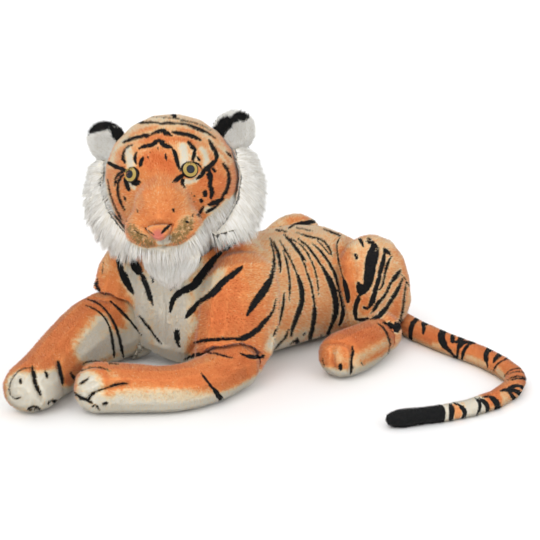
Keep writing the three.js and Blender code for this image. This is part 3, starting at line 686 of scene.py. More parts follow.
# The slits beside the nose, and the dots on the lips
NOSE_STRIPES = table("""
1.4 | 516,343 485,362 450,392 418,432
1.6 | 480,368 450,395 425,425
0.6 | 238,368 290,412 338,447
0.7 | 150,405 200,438 262,462
0.7 | 700,482 740,452 782,410
0.7 | 688,78 692,84
0.7 | 738,118 742,124
1.2 | 788,205 794,228
1.2 | 800,262 806,276
1.5 | 664,318 678,324
1.0 | 718,388 722,394
""")

# Brown speckles on the lips
SPECKLES = table("""
10 | 225,650 262,692 318,722
10 | 450,698 487,662 515,618
""")

# The edge of the short-piled face, past which the head is covered with long white pile
FACE_EDGE = """
150,235 118,310 112,400 128,470 150,540 175,600 205,640 215,690 260,725 320,738 370,725
430,725 490,715 540,670 570,630 600,585 640,555 690,520 725,480 750,450 768,400 768,340
745,280 715,230 700,100 560,20 430,0 250,20 110,120
"""

# Sewn or pulled-in lines, as (depth in mm, half width in mm, places)
CHEST_GROOVES = table("""
1.6 2.2 | 590,120 592,200 590,300
4.0 4.0 | 665,352 690,312 730,293 800,284 860,288
3.0 3.5 | 868,298 915,338 950,336
2.5 3.5 | 392,150 340,140 300,140
""")
FLANK_GROOVES = table("""
2.4 3.5 | 890,930 940,925 985,945
3.0 4.0 | 893,370 890,290 915,242
3.5 4.0 | 885,440 900,560 940,700 960,790
2.0 3.0 | 975,340 1020,420 1025,560
2.5 3.5 | 520,400 520,560 505,700 475,860 450,980
""")
PAW_GROOVES = table("""
6.0 5.0 | 325,275 335,340 345,410 365,470 400,540 425,600
6.0 5.0 | 580,220 595,300 610,370 625,440 645,530
2.2 3.5 | 110,420 95,490 105,550 150,590 200,575
2.6 3.5 | 760,380 800,330 870,290 940,275 1020,285
5.5 5.0 | 885,620 900,560 950,520 1030,490 1100,470 1180,440 1270,435
""")
REAR_GROOVES = table("""
5.0 5.0 | 515,745 512,800 518,850
4.5 5.0 | 610,735 612,780 605,830 603,868
2.4 4.5 | 475,715 540,712 590,732
""")
NOSE_GROOVES = table("""
3.0 2.6 | 516,343 485,362 450,392 418,432
1.6 2.2 | 238,368 290,412 338,447
""")
FACE_GROOVES = table("""
3.5 3.0 | 640,1085 652,1120 655,1150
4.0 3.0 | 400,1110 460,1145 530,1160 600,1148 655,1138 710,1140 780,1142 850,1095 905,1055
2.5 3.0 | 495,985 530,1010 570,1035
2.5 3.0 | 705,975 670,1010 640,1045
""")

# Tones, as (tone from deep orange at 0 to white at 5, half width in mm, softness in mm, places)
FACE_TONES = table("""
3.4 12 14 | 230,130 330,100 430,85 540,100 620,150
1.6 5 8 | 240,170 300,150 350,140
1.7 5 8 | 480,150 540,160
1.3 7 9 | 300,200 360,185 440,195 520,205
4.2 11 14 | 140,300 150,250 190,210
3.2 9 12 | 680,220 720,290 745,330
5.0 7 7 | 215,250 220,290 230,320
5.0 8 7 | 490,235 500,280 490,330
5.0 6 7 | 590,255 610,290 600,320
4.2 4 7 | 545,260 560,320
0.7 11 14 | 340,280 380,300 420,330
0.9 7 10 | 330,330 300,300
1.9 15 16 | 380,420 370,480 350,540
1.6 12 14 | 300,570 420,570 480,590
2.3 9 12 | 230,520 235,600
2.4 9 12 | 540,560 500,620
1.0 11 13 | 600,400 660,380 690,420 640,470
1.6 7 10 | 740,330 745,400
2.0 7 10 | 175,400 180,460 150,480
5.0 3.5 4 | 215,400 235,430 245,440
5.0 3.5 4 | 500,405 530,410 560,395 590,365
4.5 3.0 4 | 495,410 500,435
2.8 8 9 | 235,655 290,685 335,705
3.0 8 9 | 440,690 485,655 515,605
5.0 7.0 3 | 378,706 402,701 428,693
4.0 4 7 | 600,175 660,230 700,260
4.0 4 7 | 260,108 330,97 400,99
4.2 5 7 | 150,205 190,172 230,150
3.8 5 8 | 625,235 690,290 705,320
4.8 5 6 | 610,545 650,560 700,510
""")
NECK_TONES = table("""
2.7 16 18 | 1320,880 1420,1020 1460,1150
1.5 14 18 | 1130,1290 1220,1230
2.3 14 18 | 1340,1180 1430,1330
1.2 14 18 | 1140,1520 1240,1460
2.9 14 16 | 220,1150 200,1300
3.8 9 10 | 345,1150 350,1300
1.6 12 12 | 250,1440 300,1500
5.0 22 12 | 640,1250 640,1400 640,1568
5.0 11 10 | 380,1380 430,1460
4.6 10 10 | 930,1290 870,1350
4.8 12 10 | 1000,1440 930,1500
""")
CHEST_TONES = table("""
5.0 28 14 | 560,0 570,100 580,200 585,300
5.0 16 10 | 515,90 520,180 520,300
5.0 12 10 | 650,200 655,280 650,330
5.0 18 12 | 480,60 500,140 490,240 470,300
5.0 18 12 | 640,60 655,160 645,240 620,300
4.4 10 10 | 700,150 750,100 790,50
4.4 10 10 | 670,250 700,225
0.9 14 20 | 780,210 850,222 900,200
1.2 14 20 | 840,110 890,150
2.4 12 18 | 925,50 940,90
1.3 18 10 | 80,365 150,320 230,250 310,180 350,160
1.3 16 10 | 120,350 200,290 270,220
5.0 24 12 | 330,330 390,300 440,300
5.0 16 12 | 290,330 330,270 370,230
5.0 22 8 | 55,450 120,455 200,440
5.0 20 8 | 60,500 130,510 220,490
1.4 16 12 | 455,400 560,412 680,420 760,425
1.2 16 12 | 700,340 780,320 860,350
1.2 14 12 | 800,400 860,420 900,380
5.0 14 10 | 420,505 520,515 620,515 740,515
4.2 8 10 | 470,480 600,485 720,490 800,500
3.8 8 8 | 860,475 910,425 948,380
5.0 16 8 | 300,430 330,450
5.0 18 8 | 360,520 300,495
2.4 5 6 | 395,405 420,420 400,440
""")
FLANK_TONES = table("""
2.9 14 16 | 480,225 600,215 700,230 780,250
3.0 12 16 | 560,330 600,300
5.0 11 12 | 450,940 600,955 800,900
3.8 6 12 | 470,890 600,890 760,850
1.0 14 18 | 150,340 260,330
2.2 14 18 | 310,480 390,560 340,640
1.1 14 18 | 100,790 200,795 300,805
1.1 12 14 | 930,340 950,500 990,650
2.6 11 14 | 1090,330 1150,400
2.8 9 12 | 1250,400 1290,430
1.2 12 14 | 1060,650 1100,700
1.2 12 14 | 1280,700 1260,780
1.6 12 14 | 600,140 700,125
0.9 16 12 | 960,860 1050,880 1160,900
""")
REAR_TONES = table("""
1.2 10 12 | 560,650 640,640 720,660
3.2 6 8 | 530,760 550,800
3.4 8 8 | 600,800 640,830
3.4 8 8 | 640,790 700,760 780,715
4.0 5 7 | 470,860 540,880 600,870
1.0 7 8 | 800,680 790,640
""")
TAIL_TONES = table("""
2.2 7 3 | 800,1020 830,1060 830,1110
3.4 3 3 | 875,985 890,1010
3.3 8 8 | 1290,910 1310,980 1330,1020
2.6 5 6 | 1280,880 1330,900
3.2 6 8 | 930,520 1050,575 1100,600
3.0 6 8 | 590,400 640,410
3.4 6 8 | 1230,650 1290,720
""")


# Strokes. How far apart the places of a stroke are, in picture points:
STRIPE_STEP, FAR_STRIPE_STEP, GROOVE_STEP, TONE_STEP = 0.25, 0.3, 0.5, 2.0
# How far a stroke beside the skins may be from them, and one laid on the other side, in metres
MISS_REACH, SNAP_REACH = 0.02, 0.05
# A place that no skin is near, and a distance longer than any other
NOWHERE, FAR_OFF = [9, 9, 9], 1e9
# What counts as on a skin, how short of a point the sight of it stops, and how far round its line
# a groove is looked for, in metres
SKIN_GAP = 0.002
SIGHT_SHORT = 0.006
GROOVE_REACH = 0.02


def read_places(places):
    return np.array([[float(a) for a in pair.split(",")] for pair in places.split()])


def curve_through(places):
    """A smooth line through a stroke's places, by cutting its corners twice."""
    line = read_places(places)
    for _ in range(2 if len(line) > 2 else 0):
        before, after = line[:-1], line[1:]
        cut = np.stack([0.75 * before + 0.25 * after, 0.25 * before + 0.75 * after], 1)
        line = np.concatenate([line[:1], cut.reshape(-1, 2), line[-1:]])
    return line


def lengths_along(line):
    return np.concatenate([[0], np.cumsum(np.linalg.norm(np.diff(line, axis=0), axis=1))])


def evenly(line, step):
    along = lengths_along(line)
    at = np.linspace(0, along[-1], max(2, int(along[-1] / step) + 1))
    return np.stack([np.interp(at, along, column) for column in line.T], 1)


def lift(places, window, trees, step, through=False):
    """The places of a stroke on the skins, and how far along the stroke each is. With through, the
    stroke is also laid on the far side of the skin that it meets."""
    x, y, size = window
    line = evenly(curve_through(places) * size + (x, y), step)
    found, shares = [], []
    start = Vector(VIEW_EYE)
    for i, (u, v) in enumerate(line):
        ray = view_ray(u, v)
        hits = [(tree.ray_cast(start, ray), tree) for tree in trees]
        hits = [(hit, tree) for hit, tree in hits if hit[0]]
        if hits:
            hit, tree = min(hits, key=lambda h: h[0][3])
            far = tree.ray_cast(hit[0] + ray * SKIN_GAP, ray)[0] if through else None
            met = [place for place in (hit[0], far) if place]
        else:
            near = [tree.find_nearest(start + ray * VIEW_DISTANCE) for tree in trees]
            place, _, _, apart = min(near, key=lambda n: n[3])
            met = [place] if apart < MISS_REACH else []
        found += [list(place) for place in met]
        shares += [i / (len(line) - 1)] * len(met)
    return np.array(found).reshape(-1, 3), np.array(shares)


# How wide a stroke is at its ends, as a share of its width, and how fast it widens from there
END_SHARE, END_RISE = 0.5, 2.4


def taper(shares):
    return np.clip(END_SHARE + END_RISE * np.minimum(shares, 1 - shares), 0, 1)


def mottle(points, size_mm, seed):
    """Smooth noise from -1 to 1, from a few waves that cross each other."""
    local = np.random.default_rng(seed)
    total = np.zeros(len(points))
    for _ in range(7):
        wave = unit(local.normal(size=3)) * 2 * math.pi / (size_mm * MM * local.uniform(0.7, 1.6))
        total += np.sin(points @ wave + local.uniform(0, 6.28))
    return total / 4


class Stripes:
    """The points of all the strokes of a part, in groups of like width."""

    def __init__(self, laid):
        points, self.widths = (np.concatenate(part) for part in zip(*laid))
        group = np.digitize(self.widths, [1.5 * MM, 2.5 * MM, 4 * MM])
        groups = [np.nonzero(group == g)[0] for g in np.unique(group)]
        self.trees = [kd_tree(points[own], own.tolist()) for own in groups]

    def gap(self, points):
        """How far each point is outside the nearest stripe, in metres, and negative inside."""
        gaps = np.full(len(points), 1.0)
        places = points.tolist()
        for tree in self.trees:
            _, numbers, apart = zip(*[tree.find(place) for place in places])
            gaps = np.minimum(gaps, np.array(apart) - self.widths[list(numbers)])
        return gaps

    def ragged_gap(self, points, size_mm, by_mm):
        return self.gap(points) + mottle(points, size_mm, 1) * by_mm * MM


def hidden_from_view(points, trees):
    """Which points the view's eye doesn't see."""
    eye = Vector(VIEW_EYE)
    hidden = []
    for point in points.tolist():
        sight = Vector(point) - eye
        ray, reach = sight.normalized(), sight.length - SIGHT_SHORT
        hidden.append(any(tree.ray_cast(eye, ray, reach)[0] for tree in trees))
    return np.array(hidden, bool)


def unseen(points, trees):
    """Which points are on a skin and hidden from the view."""
    return hidden_from_view(points, trees) & (points[:, 0] < NOWHERE[0])


def snapped(points, tree):
    near = [tree.find_nearest(place) for place in points.tolist()]
    found = [list(n[0]) if n[0] and n[3] < SNAP_REACH else NOWHERE for n in near]
    return np.array(found, float).reshape(-1, 3)


# A stroke is laid wider than it is drawn, as the fibres beside a stripe lean over its edges: by a
# share and, past the half width of a thin one, by up to some more, in mm
WIDER_SHARE, THIN_HALF, BOLD_MORE = 1.15, 0.8, 0.8


def lay_stripes(tables, trees, through=(), mirror=None, far_tree=None):
    """Strokes on the skins that the view sees, and the same strokes where it doesn't see them."""
    laid = []

    def lay_unseen(points, widths):
        keep = unseen(points, trees)
        laid.append((points[keep], widths[keep]))

    for strokes, window, scale in tables:
        for half, places in strokes:
            more = BOLD_MORE * min(1.0, max(0.0, half - THIN_HALF))
            half = (half * WIDER_SHARE + more) * scale * MM
            points, shares = lift(places, window, trees, STRIPE_STEP)
            widths = half * taper(shares)
            laid.append((points, widths))
            if through:
                far, shares = lift(places, window, through, FAR_STRIPE_STEP, through=True)
                lay_unseen(far, half * taper(shares))
            if mirror:
                lay_unseen(snapped(mirror(points), far_tree), widths)
    return Stripes(laid)


def lay_tones(tables, trees, through=(), mirror=None, far_tree=None, softer=1.0):
    """Tone strokes on the skins, with the same tones on the sides that the view doesn't see."""
    laid = []
    for strokes, window in tables:
        for tone, half, soft, places in strokes:
            points, _ = lift(places, window, trees, TONE_STEP)
            if not len(points):
                continue
            other = np.zeros((0, 3))
            if through:
                other = lift(places, window, through, TONE_STEP, through=True)[0]
            if mirror:
                other = np.concatenate([other, snapped(mirror(points), far_tree)])
            centres = np.concatenate([points, other[unseen(other, trees)]])
            laid.append((tone, half * MM, soft * softer * MM, centres))
    return laid


def nearest_apart(points, centres):
    """How far each point is from the nearest of the centres, taken a few at a time."""
    nearest = np.full(len(points), FAR_OFF)
    for start in range(0, len(centres), 40):
        part = centres[start : start + 40]
        apart = np.linalg.norm(points[:, None] - part[None], axis=2).min(1)
        nearest = np.minimum(nearest, apart)
    return nearest


def towards(tone, value, share):
    return tone + (value - tone) * share


def tone_at(points, tone, laid):
    ragged = 0.12 * mottle(points, 9, 31) + 0.08 * mottle(points, 24, 32)
    for value, half, soft, centres in laid:
        inside = half + soft / 2 - nearest_apart(points, centres) + ragged * soft
        tone = towards(tone, value, rising(inside, 0, soft))
    return tone


# The head's own frame: its face looks along -Y there
HEAD_CENTRE = np.array([33.2, -211.5, 338.0]) * MM
HEAD_X = unit(np.array([0.672, 0.734, 0.096]))
HEAD_Y = unit(np.cross([0, 0, 1], HEAD_X))
HEAD_Z = np.cross(HEAD_X, HEAD_Y)
HEAD_AXES = np.stack([HEAD_X, HEAD_Y, HEAD_Z])
NOSE_PLACE = np.array([0, -0.15, -0.03])
DOWN = np.array([0, 0, -1.0])


def in_head(points):
    return (points - HEAD_CENTRE) @ HEAD_AXES.T


def from_head(points):
    return points @ HEAD_AXES + HEAD_CENTRE


def head_mirror(points):
    return from_head(in_head(points) * [-1, 1, 1])


# The spine bends to the tiger's left in front
SPINE_Y = [-0.261, -0.184, -0.097, 0, 0.252]
SPINE_X = [0.047, 0.026, 0.007, 0, 0]


def from_spine(points):
    """How far to the tiger's left of its spine points are."""
    return points[:, 0] - np.interp(points[:, 1], SPINE_Y, SPINE_X)


def torso_mirror(points):
    """The same places on the torso's other side."""
    return points - from_spine(points)[:, None] * [2, 0, 0]


# The tail: its reach across and along, its radius, how far it is pressed flat and the lift of its
# root, in mm, as its solids have them. Its places and its thickness there are shares of these.
TAIL_REACH, TAIL_RADIUS, TAIL_REST, TAIL_ROOT_RISE = (462, 250), 21, 0.5, 16.8
TAIL_SHARES = np.array([
    (0.0, 0.93, 1),
    (0.06, 1.03, 1),
    (0.17, 1.02, 1),
    (0.3, 0.95, 0.96),
    (0.52, 0.9, 0.92),
    (0.8, 0.88, 0.88),
    (0.97, 0.76, 0.8),
    (1.035, 0.5, 0.72),
    (1.035, 0.15, 0.67),
    (0.935, -0.37, 0.65),
])
# The print is measured along stretches of the tail, in small steps
TAIL_STRETCH, TAIL_STEP = 31.5 * MM, 4 * MM
SPLINE_STEPS = 60


def spline_through(points):
    """A centripetal Catmull-Rom curve, as the tail's solids follow."""
    past = np.stack([2 * points[0] - points[1], *points, 2 * points[-1] - points[-2]])
    t = (np.arange(1, SPLINE_STEPS + 1) / SPLINE_STEPS)[:, None]
    line = [points[:1]]
    for a, b, c, d in zip(past, past[1:], past[2:], past[3:]):
        first, own, last = (math.sqrt(np.linalg.norm(q - p)) for p, q in ((a, b), (b, c), (c, d)))
        leave = ((b - a) / first - (c - a) / (first + own) + (c - b) / own) * own
        arrive = ((c - b) / own - (d - b) / (own + last) + (d - c) / last) * own
        bend, twist = 3 * (c - b) - 2 * leave - arrive, 2 * (b - c) + leave + arrive
        line.append(b + leave * t + bend * t**2 + twist * t**3)
    return np.concatenate(line)


tail_places = TAIL_SHARES * (*TAIL_REACH, TAIL_RADIUS) - (0, 0, TAIL_REST)
tail_places[0, 2] += TAIL_ROOT_RISE
tail_line = evenly(spline_through(tail_places * MM), TAIL_STRETCH)
tail_step = evenly(tail_line, TAIL_STEP)
tail_lengths = lengths_along(tail_step)
tail_tangents = unit(np.gradient(tail_step, axis=0))
# How far along the tail its white and its black start, in mm
TAIL_WHITE_FROM, TAIL_BLACK_FROM = 596, 676


def on_tail(points):
    """How far along the tail each point is, and the way to its tip there."""
    near = np.linalg.norm(points[:, None] - tail_step[None], axis=2).argmin(1)
    ways = tail_tangents[near]
    return tail_lengths[near] + ((points - tail_step[near]) * ways).sum(1), ways


def near_tip(points):
    return falling(np.linalg.norm(points - tail_line[-1], axis=1), 0.062, 0.03)


# The head's brow, eye sockets, cheeks and crown, on both sides of its middle, and the brow over the
# right eye: places across, back and up in mm, a radius and a push in mm
HEAD_FORMS = [
    (47, -84, 28, 15, 2.6),
    (40, -78, 58, 22, 4.5),
    (62, -72, 46, 18, 3.5),
    (84, -52, -8, 28, 4.0),
    (24, -104, 22, 14, -2.0),
    (30, -140, -58, 18, 3.5),
    (0, -150, -62, 9, -3.5),
    (46, -88, 41, 9, 4.5),
]
RIGHT_EYE_FORM = (-60, -80, 27, 12, 6.0)


def shape_head():
    points = read_points(head.data)
    local, total = in_head(points) / MM, np.zeros(len(points))
    forms = [(side * x, *rest) for x, *rest in HEAD_FORMS for side in ((-1, 1) if x else (1,))]
    for *centre, radius, amount in forms + [RIGHT_EYE_FORM]:
        apart = np.linalg.norm(local - centre, axis=1)
        total += amount * np.exp(-((apart / radius) ** 2))
    write_points(head.data, points + read_normals(head.data) * total[:, None] * MM)
    smooth(head.data, 4)


def carve(obj, tree, grooves):
    """Pulls a skin in along its sewn lines."""
    points, normals = read_points(obj.data), read_normals(obj.data)
    for depth, half, line in grooves:
        line = line[[tree.find_nearest(place)[3] < SKIN_GAP for place in line.tolist()]]
        if not len(line):
            continue
        low, high = line.min(0) - GROOVE_REACH, line.max(0) + GROOVE_REACH
        near = np.nonzero(((points > low) & (points < high)).all(1))[0]
        pull = depth * MM * np.exp(-((nearest_apart(points[near], line) / (half * MM)) ** 2))
        points[near] -= normals[near] * pull[:, None]
    write_points(obj.data, points)


TREES = {name: tree_of(skin) for name, skin in SKINS.items()}
push(tail, 1.3, near_tip)
shape_head()
TREES["head"] = tree_of(head)
for window, strokes in (
    (CHEST_WINDOW, CHEST_GROOVES),
    (FLANK_WINDOW, FLANK_GROOVES),
    (PAW_WINDOW, PAW_GROOVES),
    (NECK_WINDOW, FACE_GROOVES),
    (REAR_WINDOW, REAR_GROOVES),
    (NOSE_WINDOW, NOSE_GROOVES),
):
    grooves = [
        (depth, half, lift(places, window, list(TREES.values()), GROOVE_STEP)[0])
        for depth, half, places in strokes
    ]
    for name in SKINS:
        if name != "foot_right":
            carve(SKINS[name], TREES[name], grooves)
TREES = {name: tree_of(skin) for name, skin in SKINS.items()}
BODY_TREES = [TREES[name] for name in TREES if name != "head"]
LIMB_TREES = [TREES[name] for name in TREES if name.startswith(("leg", "foot"))]
HEAD_TREES = [TREES["head"]]
TAIL_TREES = [tree_of(tail)]
nose = closed_copy("nose_velour", ["nose"], 1.2, 1.6, 12)
write_points(nose.data, read_points(nose.data) + HEAD_Y * 1.2 * MM)

# The print on each skin. The far sides take it through the limbs, or from the side that is seen.
BODY = (BODY_TREES, LIMB_TREES, torso_mirror, TREES["torso"])
FACE_MIRROR = ([], head_mirror, TREES["head"])
BODY_TABLES = [
    (CHEST_STRIPES, CHEST_WINDOW, 0.85),
    (NECK_STRIPES, NECK_WINDOW, 0.75),
    (FLANK_STRIPES, FLANK_WINDOW, 1.0),
    (PAW_STRIPES, PAW_WINDOW, 0.8),
    (THIGH_STRIPES, THIGH_WINDOW, 1.6),
    (REAR_STRIPES, REAR_WINDOW, 1.3),
]
FACE_TABLES = [(FACE_STRIPES, FACE_WINDOW, 1.0), (NOSE_STRIPES, NOSE_WINDOW, 1.0)]
TONE_TABLES = [
    (NECK_TONES, NECK_WINDOW),
    (CHEST_TONES, CHEST_WINDOW),
    (FLANK_TONES, FLANK_WINDOW),
    (REAR_TONES, REAR_WINDOW),
]
SPECKLE_SOFT = 8
SPECKLE_TABLE = [(1, half, SPECKLE_SOFT, places) for half, places in SPECKLES]
body_stripes = lay_stripes(BODY_TABLES, *BODY)
face_stripes = lay_stripes(FACE_TABLES, HEAD_TREES + [tree_of(nose)], *FACE_MIRROR)
tail_stripes = lay_stripes([(TAIL_STRIPES, TAIL_WINDOW, 1.0)], TAIL_TREES, TAIL_TREES)
body_tones = lay_tones(TONE_TABLES, *BODY, softer=2.4)
face_tones = lay_tones([(FACE_TONES, FACE_WINDOW)], HEAD_TREES, *FACE_MIRROR, softer=1.8)
tail_tones = lay_tones([(TAIL_TONES, TAIL_WINDOW)], TAIL_TREES, TAIL_TREES)
speckles = lay_tones([(SPECKLE_TABLE, FACE_WINDOW)], HEAD_TREES)


def tail_print(points):
    along = on_tail(points)[0] / MM + mottle(points, 14, 5) * 1.2
    gap = np.minimum(tail_stripes.ragged_gap(points, 7, 0.4), (TAIL_BLACK_FROM - along) * MM)
    tone = ORANGE + 0.4 * mottle(points, 60, 6)
    tone = towards(tone, PALE, falling(points[:, 2], 0.020, 0.018))
    tone = towards(tone, WHITEST, rising(along, TAIL_WHITE_FROM, 10))
    return gap, tone_at(points, tone, tail_tones)


def outside_face(points):
    """How far points of the head are past the face's edge, in picture points."""
    x, y, size = FACE_WINDOW
    edge = evenly(curve_through(FACE_EDGE + " " + FACE_EDGE.split()[0]) * size + (x, y), 1.0)
    places = view_places(points)
    apart = np.linalg.norm(places[:, None] - edge[None], axis=2)
    near = apart.argmin(1)
    ahead, offset = edge[(near + 1) % len(edge)] - edge[near - 1], places - edge[near]
    inside = ahead[:, 0] * offset[:, 1] - ahead[:, 1] * offset[:, 0]
    return np.where(inside > 0, 1, -1) * apart.min(1)


def long_piled(points):
    """How far places of the head are in the long pile: from 0, in the short pile, to 1. Where the
    view doesn't see, the long pile's edge is given in the head's own frame."""
    _, y, z = in_head(points).T / MM
    side, under = rising(y, -28, 6), falling(z, -60, 8) * rising(y, -105, 10)
    seen = rising(outside_face(points), 0, 2)
    past = np.where(hidden_from_view(points, HEAD_TREES), np.maximum(side, under), seen)
    return past * falling(z, 62, 12) * falling(y, 52, 12)


BAND_SPACING = 24 * MM
BAND_CLEARANCE = 7 * MM


def with_bands(points, gap, level, half_mm, seed, trees):
    """Adds bands, broken into tapering strokes, on the sides that the picture doesn't show."""
    phase = level / BAND_SPACING + 0.4 * mottle(points, 110, seed)
    apart = np.abs(phase - np.round(phase)) * BAND_SPACING
    width = half_mm * MM * np.clip(0.3 + 1.1 * mottle(points, 60, seed + 1), -1, 1.2)
    free = hidden_from_view(points, trees) & (gap > BAND_CLEARANCE)
    return np.where(free, np.minimum(gap, apart - width), gap)


RUMP_Y, RUMP_Z = 0.16, 0.1
BANDS_BOTTOM = 0.03
# The undersides' white: how high it reaches, how much higher on the chest's front and, but for the
# right foreleg's outer side, on the limbs, and over what height it fades
BELLY_WHITE, CHEST_RISE, LIMB_WHITE, INNER_RISE, WHITE_FADE = 0.026, 0.028, 0.020, 0.014, 0.016
ORANGE, PALE = 1.5, 3.3


def torso_print(points):
    """Bands over the back that turn round the rump, paler by the stripes and on the high back, and
    white below."""
    _, y, z = points.T
    gap = body_stripes.ragged_gap(points, 8, 0.5)
    round_rump = RUMP_Y + np.hypot(y - RUMP_Y, (z - RUMP_Z) * 0.8)
    level = np.where(y > RUMP_Y, round_rump, y + 0.2 * z)
    banded = with_bands(points, gap, level, 4.6, 41, BODY_TREES)
    gap = np.where(z > BANDS_BOTTOM, banded, gap)
    tone = ORANGE + rising(y, -0.15, 0.06) + 0.35 * mottle(points, 70, 2)
    tone += 0.9 * rising(z, 0.15, 0.06) * rising(y, -0.12, 0.08)
    tone = tone_at(points, tone, body_tones)
    tone += 0.9 * rising(y, -0.14, 0.04) * falling(gap / MM, 5, 5) * falling(tone, 3.4, 1.0)
    top = BELLY_WHITE + CHEST_RISE * falling(y, -0.12, 0.04)
    return gap, towards(tone, WHITEST, falling(z, top, WHITE_FADE))


def limb_print(points):
    """Orange above and white below, with less white on the outer side of the right foreleg."""
    x, y, z = points.T
    tone = tone_at(points, ORANGE + 0.35 * mottle(points, 50, 3), body_tones)
    inner = rising(x + 0.09 + (0.24 + y) * 0.536, 0, 0.012)
    tone = towards(tone, WHITEST, falling(z, LIMB_WHITE + INNER_RISE * inner, WHITE_FADE))
    return body_stripes.ragged_gap(points, 8, 0.4), tone


def head_print(points):
    """The face as it is seen, bands on the back of the head, a pale crown, and white without
    stripes under the long pile."""
    _, y, z = in_head(points).T
    gap = face_stripes.ragged_gap(points, 7, 0.3)
    gap = with_bands(points, gap, np.arctan2(z, y) * 0.085, 4.2, 43, HEAD_TREES)
    tone = 1.8 + 0.35 * mottle(points, 45, 4) + 1.7 * rising(z, 0.05, 0.05)
    past = long_piled(points)
    tone = towards(tone_at(points, tone, face_tones), WHITEST, past)
    return np.where(past > 0.5, 0.02, gap), tone


def white_print(points):
    return np.full(len(points), 1.0), np.full(len(points), WHITEST)


def ear_print(points):
    return ear_stripes.ragged_gap(points, 6, 0.5), np.full(len(points), 4.7)


def nose_print(points):
    """The bridge's orange, paler above."""
    up = in_head(points)[:, 2]
    return face_stripes.gap(points), 1.6 + 0.6 * (up - up.min()) / (up.max() - up.min())


NOSE_PINK_PLACE, NOSE_PINK_REACH, NOSE_PINK_FADE = (380, 450), 85, 55


def nose_pink(points):
    """How pink the nose is at each place: most in the middle below."""
    x, y, size = NOSE_WINDOW
    places = (view_places(points) - (x, y)) / size
    apart = np.linalg.norm(places - NOSE_PINK_PLACE, axis=1)
    return falling(apart, NOSE_PINK_REACH, NOSE_PINK_FADE)


def speckle_at(points):
    """How brown-speckled the lips are at each place, from 0 to 1."""
    share = tone_at(points, np.zeros(len(points)), speckles)
    return share * np.clip(0.75 + 0.5 * mottle(points, 8, 33), 0.25, 1)


def paw_groove_shade(points):
    """Painted shade: brown beside the dark lines of the paws, standing in for the shade in the
    grooves along them.
    """
    beside = falling(body_stripes.gap(points) / MM, 2.6, 2.6)
    return 0.6 * beside * falling(points[:, 1], -0.36, 0.03)


def dress(obj, material):
    obj.data.materials.clear()
    obj.data.materials.append(material)


GAP_RANGE = 24 * MM


def give_print(obj, reader, stain_and_shade_at=None, material=PRINTED):
    points = read_points(obj.data)
    gap, tone = reader(points)
    # The stain layer: real speckles and pink where they are, and painted shade beside the paws' dark
    # lines
    stain_and_shade = stain_and_shade_at(points) if stain_and_shade_at else np.zeros(len(points))
    layers = {"stripe_gap": 0.5 + gap / GAP_RANGE, "tone": tone / (len(TONES) - 1), "stain_and_shade": stain_and_shade}
    for name, values in layers.items():
        attribute = obj.data.attributes.new(name, "FLOAT", "POINT")
        attribute.data.foreach_set("value", np.clip(values, 0, 1).astype(np.float32))
    dress(obj, material)


# Pile
BLACK, SOOT, SNOW, PEARL = (SHADE_NAMES.index(s) for s in ("black", "soot", "snow", "pearl"))
ROOT_DEPTH = 0.8 * MM
# How a strand narrows and gathers along its length, as powers, and how far its tip strays
NARROWING, GATHERING, STRAYING, STRAY = 1.5, 1.6, 1.3, 1.6 * MM
# Least and most length and width, as shares, of short and of long pile
SHORT_LENGTHS, SHORT_WIDTHS = (0.75, 1.15), (0.8, 1.2)
LONG_LENGTHS, LONG_WIDTHS = (0.65, 1.15), (0.7, 1.3)
# Short pile's swirls: their size in mm and their weight; how unevenly it stands; and how far up a
# fibre its colour is taken
SWIRL_SIZE, SWIRL, UNEVEN, SEEN_SHARE = 28, 0.22, 0.14, 0.7
# How much a fibre's shading follows its own lean, and how much it varies
SHADING_LEAN, SHADING_UNEVEN = 0.3, 0.10
# A stripe's edge in the pile, how far it wanders, and the share of its fibres that are faded
STRIPE_EDGE, STRIPE_WANDER, SOOT_SHARE = 0.2 * MM, 0.5 * MM, 0.15


def triangle_areas(points, triangles):
    a, b, c = (points[triangles[:, i]] for i in range(3))
    return np.linalg.norm(np.cross(b - a, c - a), axis=1) / 2


def scatter(obj, count):
    """Places on a skin, evenly by area, with their normals."""
    points, normals = read_points(obj.data), read_normals(obj.data)
    triangles = read_triangles(obj.data)
    areas = triangle_areas(points, triangles)
    steps = (np.arange(count) + rng.uniform(size=count)) / count * areas.sum()
    chosen = triangles[np.searchsorted(np.cumsum(areas), steps).clip(0, len(areas) - 1)]
    r, s = np.sqrt(rng.uniform(size=count)), rng.uniform(size=count)
    shares = np.stack([1 - r, r * (1 - s), r * s], 1)[:, :, None]
    places, leans = ((shares * rows[chosen]).sum(1) for rows in (points, normals))
    return places, unit(leans)


